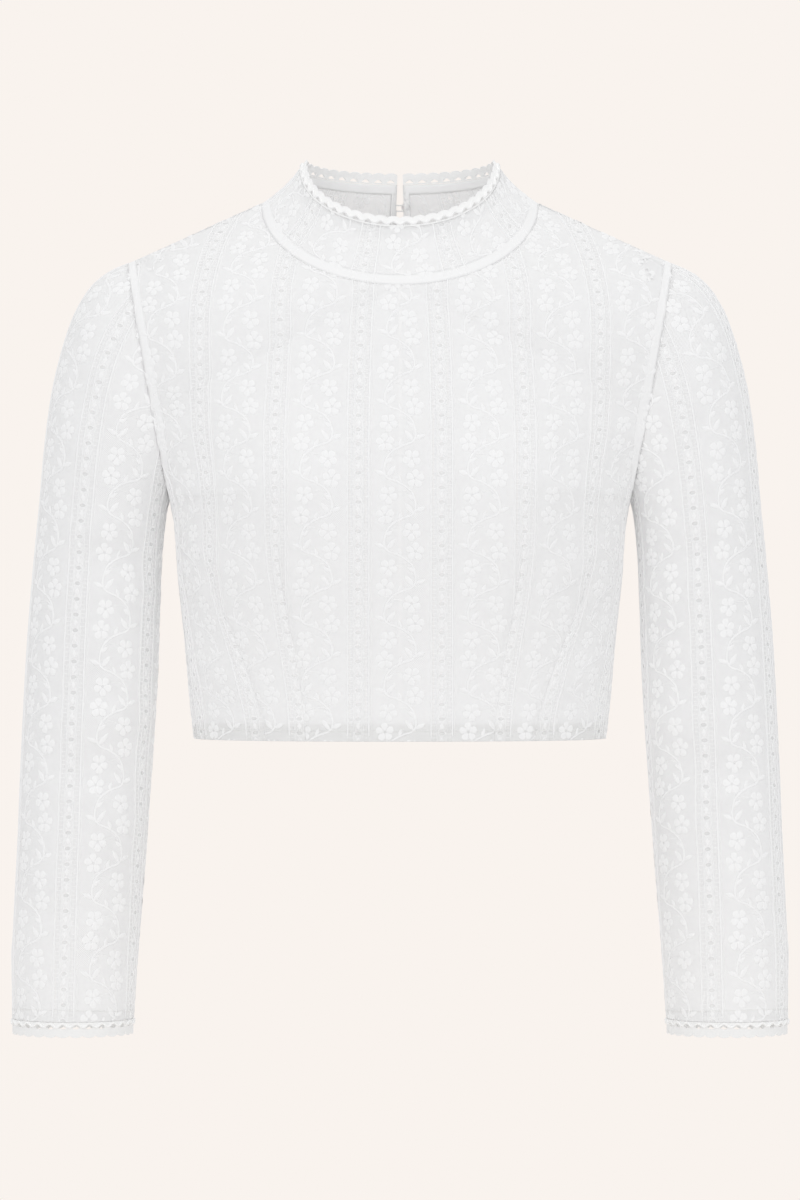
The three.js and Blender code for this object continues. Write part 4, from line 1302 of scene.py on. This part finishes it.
make_tape("collar_top_tape", "collar_tape", "collar", both([collar_strip("collar top")]))
make_tape("neck_tape", "neck_seam_tape", "collar", both([collar_strip("seam")]))
left = armhole_tape()
right = [mirrored(strip) for strip in left]
make_tape("armhole_binding_left", "armhole_tape_left", "sleeve_left", left)
make_tape("armhole_binding_right", "armhole_tape_right", "sleeve_right", right)
print("tapes:", sum(len(panel["tapes"]) for panel in panels.values()))

# %% [markdown]
# ## Scalloped edging
#
# The edging is bought by the metre and sewn on. One scallop is a small plate with a half-moon cut out of
# it and a cord along its waved edge. A second cord waves along its foot as a piece of its own, so that
# it can be painted brighter than the plate, as painted light on the raised cord. On the cuffs the plate
# is also painted darker, as painted shade beneath the cord. Both are laid along the collar's top and the
# cuffs by the same tree as the embroidery.

# %% One scallop, and the strips it is laid on
EDGING = {"repeat": 9.3, "slot": 5.6, "face": -0.12, "back": -0.92}
SCALLOP = {  # heights above the foot: the slot, the waved edge, and the cord that swings over the slots
    "collar": {"foot": 1.0, "low": 1.7, "high": 3.2, "trough": 6.2, "crest": 7.8, "wave": 2.9, "swing": 1.15},
    "cuff": {"foot": 1.3, "low": 2.8, "high": 4.6, "trough": 8.6, "crest": 10.2, "wave": 1.9, "swing": -1.15},
}
EDGE_COLUMNS = [0, 0.95, 1.85, 2.4, 3.4, 4.65, 5.9, 6.9, 7.45, 8.35, 9.3]
ROUND_SECTION = [(math.cos(turn), math.sin(turn)) for turn in np.radians(np.arange(0, 360, 60))]
RIM_CORD, WAVE_CORD = 0.42, 0.85
RIM_IN, WAVE_RISE = 0.1, 0.45
CREST_POWER, CORD_STEPS = 0.7, 12
EDGE_GAP, EDGE_MARGIN = 0.3, 1.2
STRIP_BELOW, STRIP_ABOVE = -2.0, 1.5  # how far the pattern reaches past the edging


def crest_at(u, size):
    """Height of the waved edge, at a place along the repeat."""
    wave = math.sin(math.pi * u / EDGING["repeat"]) ** CREST_POWER
    return size["trough"] + (size["crest"] - size["trough"]) * wave


def draw_scallop(size):
    drawing = Drawing()
    half = EDGING["slot"] / 2
    middle = EDGING["repeat"] / 2
    heights = []
    for u in EDGE_COLUMNS:
        rounding = math.sqrt(max(0, 1 - ((u - middle) / half) ** 2))
        slot_top = lerp(size["low"], size["high"], rounding)
        heights.append([0, size["foot"], slot_top, crest_at(u, size)])
    points = [(u, v, face) for face in (EDGING["face"], EDGING["back"])
              for u, column in zip(EDGE_COLUMNS, heights) for v in column]
    per_face = 4 * len(EDGE_COLUMNS)
    faces, edges = [], {}
    for i in range(len(EDGE_COLUMNS) - 1):
        in_slot = abs((EDGE_COLUMNS[i] + EDGE_COLUMNS[i + 1]) / 2 - middle) < half
        for row in (0, 2) if in_slot else (0, 1, 2):
            quad = (4 * i + row, 4 * i + 4 + row, 4 * i + 5 + row, 4 * i + 1 + row)
            faces += [quad, tuple(per_face + corner for corner in reversed(quad))]
            for a, b in zip(quad, quad[1:] + quad[:1]):
                edges[frozenset((a, b))] = edges.get(frozenset((a, b)), []) + [(a, b)]
    for used in edges.values():
        a, b = used[0]
        on_end = {a // 4, b // 4} in ({0}, {len(EDGE_COLUMNS) - 1})
        if len(used) == 1 and not on_end:
            faces.append((b, a, per_face + a, per_face + b))
    drawing.add(points, faces)
    turn_on = (EDGING["repeat"], 0)
    along = np.linspace(0, EDGING["repeat"], CORD_STEPS + 1)
    rim = [(u, crest_at(u, size) - RIM_IN) for u in along]
    level = (EDGING["face"] + EDGING["back"]) / 2
    oval = [(RIM_CORD * a, level + (RIM_CORD + RIM_IN) * b) for a, b in ROUND_SECTION]
    drawing.strand(rim, oval, shift=turn_on)
    wave = [(u, size["wave"] - size["swing"] * math.cos(2 * math.pi * u / EDGING["repeat"])) for u in along]
    cord = Drawing()
    round_cord = [(WAVE_CORD * a, WAVE_RISE + WAVE_CORD * b) for a, b in ROUND_SECTION]
    cord.strand(wave, round_cord, shift=turn_on)
    return drawing, cord


def edge_paper(name, edge, outs, way, height):
    """The pattern of a strip that stands on an edge, a whole number of scallops long."""
    steps = np.linalg.norm(np.diff(edge, axis=0), axis=1)
    along = np.concatenate([[0], np.cumsum(steps)])
    repeats = round(along[-1] / EDGING["repeat"])
    rows = [STRIP_BELOW, 0, height / 2, height + STRIP_ABOVE]
    points = np.stack([edge + way * (row + EDGE_GAP) for row in rows])
    counted = along * repeats * EDGING["repeat"] / along[-1]
    uv = np.stack([np.stack([counted, 0 * along + row], -1) for row in rows])
    return paper(name, [patch(points, np.stack([outs] * len(rows)), uv)]), repeats


def make_edging(node, panel, edge, outs, way, kind):
    pattern, repeats = edge_paper(node + "_paper", edge, outs, way, SCALLOP[kind]["crest"])
    row = ((0, 0), (EDGING["repeat"], 0), (repeats, 1), EDGE_MARGIN)
    scallops = lay(node + "_scallops", scallop_motifs[kind], pattern, edging_cotton[kind], *row)
    wave = lay(node + "_wave", wave_motifs[kind], pattern, edging_cord_painted_light, *row)
    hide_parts(node)
    for strip in (scallops, wave):
        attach(strip, BODY)
        panels[panel]["tapes"].append(strip)
    bpy.data.objects.remove(pattern)


flip_x = np.array([-1, 1, 1])
scallop_motifs, wave_motifs = {}, {}
for kind, size in SCALLOP.items():
    plate, cord = draw_scallop(size)
    scallop_motifs[kind] = plate.object(kind + "_scallop")
    wave_motifs[kind] = cord.object(kind + "_wave")
EDGE_STATIONS = {"collar": 240, "cuff": 160}
BACK_END = 0.002  # the edging stops this share of a quarter before the centre back
fine_quarters = np.linspace(0, 2 - BACK_END, EDGE_STATIONS["collar"])
fine_collar = collar_half(np.array([0.8, 0.9, 1.0]), fine_quarters)
rim_edge, rim_outs = fine_collar["points"][-1], fine_collar["outs"][-1]
rim_way = unit(fine_collar["points"][-1] - fine_collar["points"][0])
for side, flip in (("left", 1), ("right", flip_x)):
    make_edging("collar_edging_" + side, "collar", rim_edge * flip, rim_outs * flip, rim_way * flip, "collar")
half_turn = np.linspace(0, math.pi, EDGE_STATIONS["cuff"])
cuff_turn = {"front": half_turn, "back": np.linspace(math.pi, 2 * math.pi, EDGE_STATIONS["cuff"])}
for half, turns in cuff_turn.items():
    edge = sleeve_points(0 * turns, turns)
    centre = sleeve_points(np.zeros(2), np.array([0, math.pi])).mean(axis=0)
    outs = unit((edge - centre) * np.array([1, 1, 0]))
    for side, flip in (("left", 1), ("right", flip_x)):
        make_edging(f"cuff_edging_{side}_{half}", "sleeve_" + side, edge * flip, outs * flip,
                    np.array([[0, 0, -1.0]]) + 0 * edge, "cuff")
print("trimmed:", {node: len(panel["tapes"]) for node, panel in panels.items()})

# %% [markdown]
# ## Stitches
#
# A line of machine stitches holds the turned hem and the sleeve hems. A stitch is a short rounded bar,
# and the same tree sets them out in a row.

# %% Rows of stitches
STITCH = {"length": 2.1, "pitch": 2.7, "radius": 0.26, "end": 0.3, "rise": 0.1, "margin": 0.05}
ROWS = table(
    "node v",
    ("front", 7.2),
    ("back_left", 7.2),
    ("back_right", 7.2),
    ("sleeve_left", 6.2),
    ("sleeve_right", 6.2),
)
end, shoulder = STITCH["length"] / 2, STITCH["length"] / 2 - STITCH["end"]
stitch_section = [(STITCH["radius"] * a, STITCH["rise"] + STITCH["radius"] * b) for a, b in ROUND_SECTION]
stitch = Drawing()
stitch.strand([(-end, 0), (-shoulder, 0), (shoulder, 0), (end, 0)], stitch_section)
stitch = stitch.object("stitch")


def sew(name, pattern, v, slot_owner):
    corners = np.array([vertex.co[:2] for vertex in pattern.data.vertices]) / MM
    low, high = corners[:, 0].min(), corners[:, 0].max()
    count = int((high - low) / STITCH["pitch"])
    start, step = (low + STITCH["pitch"] / 2, v), (STITCH["pitch"], 0)
    row = lay(name, stitch, pattern, stitch_thread_painted_shade, start, step, (count, 1), STITCH["margin"])
    panels[slot_owner]["parts"].append(row)


starts = {"front": front_up, "back_left": back_up, "back_right": back_up,
          "sleeve_left": SLEEVE_V, "sleeve_right": SLEEVE_V}
for row in ROWS:
    node = row["node"]
    stretch = SLEEVE_STRETCH if "sleeve" in node else 1
    sew(node + "_stitches", panels[node]["paper"], (row["v"] - starts[node]) / stretch, node)
print("stitched:", [row["node"] for row in ROWS])

# %% [markdown]
# ## Buttons and loops
#
# Seven small domed buttons stand on the left back, and a loop of twisted cord reaches over to each from
# the right back. A button is turned on a lathe, and the cord is two strands wound round one path.

# %% The buttons and the loops
BUTTON_Z = [-15, -75, -135, -195, -255, -315]
BUTTON = {"segments": 40, "rise": 2.1, "across": 5.5}
BUTTON_PROFILE = [(0, -1.8), (1.2, -1.8), (1.2, 0.0), (3.9, 0.05), (4.35, 0.3), (4.6, 0.8), (4.55, 1.3),
                  (4.25, 1.75), (3.75, 1.95), (3.3, 1.85), (2.9, 1.8), (2.2, 2.05), (1.2, 2.3), (0, 2.4)]
LOOP = {"bend": 2.1, "tail": 6.5, "tail_bend": 1.9, "lift": 1.1, "strand": 0.33, "wind": 0.3, "turn": 2.2}
LOOP_MIDDLE, CORD_SIDES = (-3.2, 2.05), 8
SLOPE_REACH = 4  # the seam's slope is measured this far above and below a fastening


def closing_places():
    """Where the fastenings sit on the centre back: the place, and which way is up the seam and out of it."""
    quarter = np.array([2.0, 2.0, 2.0])
    collar_line = collar_points(quarter, np.array([0.4, 0.5, 0.6]))
    collar_line[:, 0] = 0
    places = [(collar_line[1], unit(collar_line[2] - collar_line[0]))]
    for z in BUTTON_Z:
        low, high = (np.array([0, float(depth_at[1](h)), h]) for h in (z - SLOPE_REACH, z + SLOPE_REACH))
        places.append((np.array([0, float(depth_at[1](z)), z]), unit(high - low)))
    return [(place, up, unit(np.cross(up, (1, 0, 0)))) for place, up in places]


def solid(name, points, faces, material):
    mesh = facing_out(name, points, faces)
    mesh.shade_smooth()
    return add_object(name, mesh, material)


def lathe(name, profile, segments, place, up, out, material):
    side = np.cross(up, out)
    points, faces = [place + out * profile[0][1], place + out * profile[-1][1]], []
    rings = profile[1:-1]
    for radius, height in rings:
        for i in range(segments):
            turn = 2 * math.pi * i / segments
            points.append(place + out * height + (side * math.cos(turn) + up * math.sin(turn)) * radius)
    for i in range(segments):
        j = (i + 1) % segments
        faces.append((0, 2 + j, 2 + i))
        last = 2 + (len(rings) - 1) * segments
        faces.append((1, last + i, last + j))
        for ring in range(len(rings) - 1):
            low = 2 + ring * segments
            faces.append((low + i, low + j, low + segments + j, low + segments + i))
    return solid(name, points, faces, material)


def loop_path():
    """The cord's path on the seam: across, and up."""
    bend, tail = LOOP["bend"], LOOP["tail"]
    turns = np.radians(np.arange(90, -91, -22.5))
    head = [(BUTTON["across"] + bend * math.cos(t), bend * math.sin(t)) for t in turns]
    upper = [(-tail, LOOP["tail_bend"]), LOOP_MIDDLE, (0, bend), (3, bend)]
    lower = [(u, -v) for u, v in reversed(upper)]
    return curve_through([*upper, *head, *lower], 5)


def twisted_cord(name, path, out, material):
    way = unit(np.gradient(path, axis=0))
    side = unit(np.cross(way, out))
    rise = np.cross(side, way)
    length = np.concatenate([[0], np.cumsum(np.linalg.norm(np.diff(path, axis=0), axis=1))])
    points, faces = [], []
    sides = CORD_SIDES
    for strand in (0, math.pi):
        first = len(points)
        turn = strand + 2 * math.pi * length / LOOP["turn"]
        centre = path + LOOP["wind"] * (side * np.cos(turn)[:, None] + rise * np.sin(turn)[:, None])
        for i in range(len(path)):
            for k in range(sides):
                a = 2 * math.pi * k / sides
                points.append(centre[i] + LOOP["strand"] * (side[i] * math.cos(a) + rise[i] * math.sin(a)))
        for i in range(len(path) - 1):
            for k in range(sides):
                a, b = first + i * sides + k, first + i * sides + (k + 1) % sides
                faces.append((a, b, b + sides, a + sides))
        faces.append(tuple(range(first, first + sides)))
        faces.append(tuple(reversed(range(len(points) - sides, len(points)))))
    return solid(name, points, faces, material)


across_way = np.array([1.0, 0, 0])
flat_path = loop_path()
for number, (place, up, out) in enumerate(closing_places(), 1):
    seat = place + out * BUTTON["rise"] + across_way * BUTTON["across"]
    button = lathe(f"pearl_{number}", BUTTON_PROFILE, BUTTON["segments"], seat, up, out, pearl)
    route = place + out * LOOP["lift"] + flat_path[:, :1] * across_way + flat_path[:, 1:] * up
    cord = twisted_cord(f"cord_loop_{number}", route, out, cord_thread)
    for piece, node, slot in ((button, f"button_{number}", "button"), (cord, f"loop_{number}", "loop")):
        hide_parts(node)
        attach(piece, BODY)
print("fastenings:", len(BUTTON_Z) + 1)

# %% [markdown]
# ## Fixing the pieces to the part
#
# Each piece rides on the part's one body. The cloth pieces also say the size of their flat cut, so
# that someone can sew them.

# %% Bodies and flat cuts
for node, panel in panels.items():
    for piece in (panel["net"], *panel["parts"]):
        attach(piece, BODY)
    width, long = panel["flat"]
    print(f"{node}: flat cut {width * 1000:.0f} by {long * 1000:.0f} mm, {panel['area'] * 1e4:.0f} square cm")
    bpy.data.objects.remove(panel["paper"])
for motif in (lace_repeat, stitch, *scallop_motifs.values(), *wave_motifs.values()):
    bpy.data.objects.remove(motif)

# %% [markdown]
# ## Camera, light and floor
#
# The picture was taken from far off with a long lens, level with the middle of the blouse, against a
# cream wall in very soft light. The wall is the world's colour as the camera sees it, and the same world
# lights the blouse in neutral white from all sides. It is a little dimmer from below and from the
# sides, so that the round of the bodice and the sleeves falls off into grey. Three large lamps add a
# little shape.

# %% Camera, light and floor
CAMERA = {"distance": 3.6, "z": -0.2555, "lens": 154.3, "film": 36.0}
WALL = (0.947, 0.896, 0.855)
AMBIENT = {"low": (0.79, 0.795, 0.81), "high": (1.0, 1.0, 1.0), "side": 0.82, "falloff": 1.5, "power": 0.95}
BOUNCES = {"transparent_max_bounces": 24, "diffuse_bounces": 11, "max_bounces": 15}
LAMPS = table(
    "name x y z size watts",
    ("key", -1.3, -2.4, 1.1, 1.6, 9.0),
    ("fill", 1.8, -2.0, 0.2, 2.0, 5.0),
    ("back", 0.6, 2.6, 1.2, 1.8, 6.0),
)
scene = bpy.context.scene
camera_data = bpy.data.cameras.new("camera")
camera_data.sensor_fit = "VERTICAL"
camera_data.sensor_height = CAMERA["film"]
camera_data.lens = CAMERA["lens"]
camera = bpy.data.objects.new("camera", camera_data)
camera.location = (0, -CAMERA["distance"], CAMERA["z"])
camera.rotation_euler = (math.pi / 2, 0, 0)
scene.collection.objects.link(camera)
scene.camera = camera

world = bpy.data.worlds.new("studio")
world.use_nodes = True
sky = world.node_tree
sky.nodes.clear()
seen = add_node(sky, "ShaderNodeBackground", {"Color": (*WALL, 1), "Strength": 1.0}).outputs[0]
direction = add_node(sky, "ShaderNodeTexCoord").outputs["Generated"]
way = add_node(sky, "ShaderNodeSeparateXYZ", {0: direction}).outputs
rise = calculate(sky, "MULTIPLY_ADD", way["Z"], 0.5, 0.5)
shade = mixed_color(sky, rise, AMBIENT["low"], AMBIENT["high"])
sideways = calculate(sky, "POWER", calculate(sky, "ABSOLUTE", way["X"]), AMBIENT["falloff"])
power = calculate(sky, "MULTIPLY", blend_values(sky, 1.0, AMBIENT["side"], sideways), AMBIENT["power"])
light = add_node(sky, "ShaderNodeBackground", {"Color": shade, "Strength": power}).outputs[0]
by_camera = add_node(sky, "ShaderNodeLightPath").outputs["Is Camera Ray"]
mixed = add_node(sky, "ShaderNodeMixShader", {0: by_camera, 1: light, 2: seen}).outputs[0]
add_node(sky, "ShaderNodeOutputWorld", {"Surface": mixed})
scene.world = world
scene.view_settings.view_transform = "Standard"
for setting, count in BOUNCES.items():
    setattr(scene.cycles, setting, count)

target = np.array([0, 0, CAMERA["z"]])
for lamp in LAMPS:
    data = bpy.data.lights.new(lamp["name"], "AREA")
    data.shape = "DISK"
    data.size = lamp["size"]
    data.energy = lamp["watts"]
    place = np.array([lamp["x"], lamp["y"], lamp["z"]])
    away = unit(target - place)
    holder = bpy.data.objects.new(lamp["name"], data)
    holder.location = place
    holder.rotation_euler = (math.acos(-away[2]), 0, math.atan2(away[1], away[0]) - math.pi / 2)
    scene.collection.objects.link(holder)

FLOOR = {"z": -0.75, "radius": 0.6, "sides": 96, "color": (0.9, 0.875, 0.85)}
floor_paint = shader("floor", FLOOR["color"], 0.9)[0]
floor_mesh = bpy.data.meshes.new("floor")
rim_points = [(FLOOR["radius"] * math.cos(t), FLOOR["radius"] * math.sin(t), FLOOR["z"])
              for t in np.linspace(0, 2 * math.pi, FLOOR["sides"], endpoint=False)]
floor_mesh.from_pydata(rim_points, [], [tuple(range(FLOOR["sides"]))])
floor = add_object("floor", floor_mesh, floor_paint)
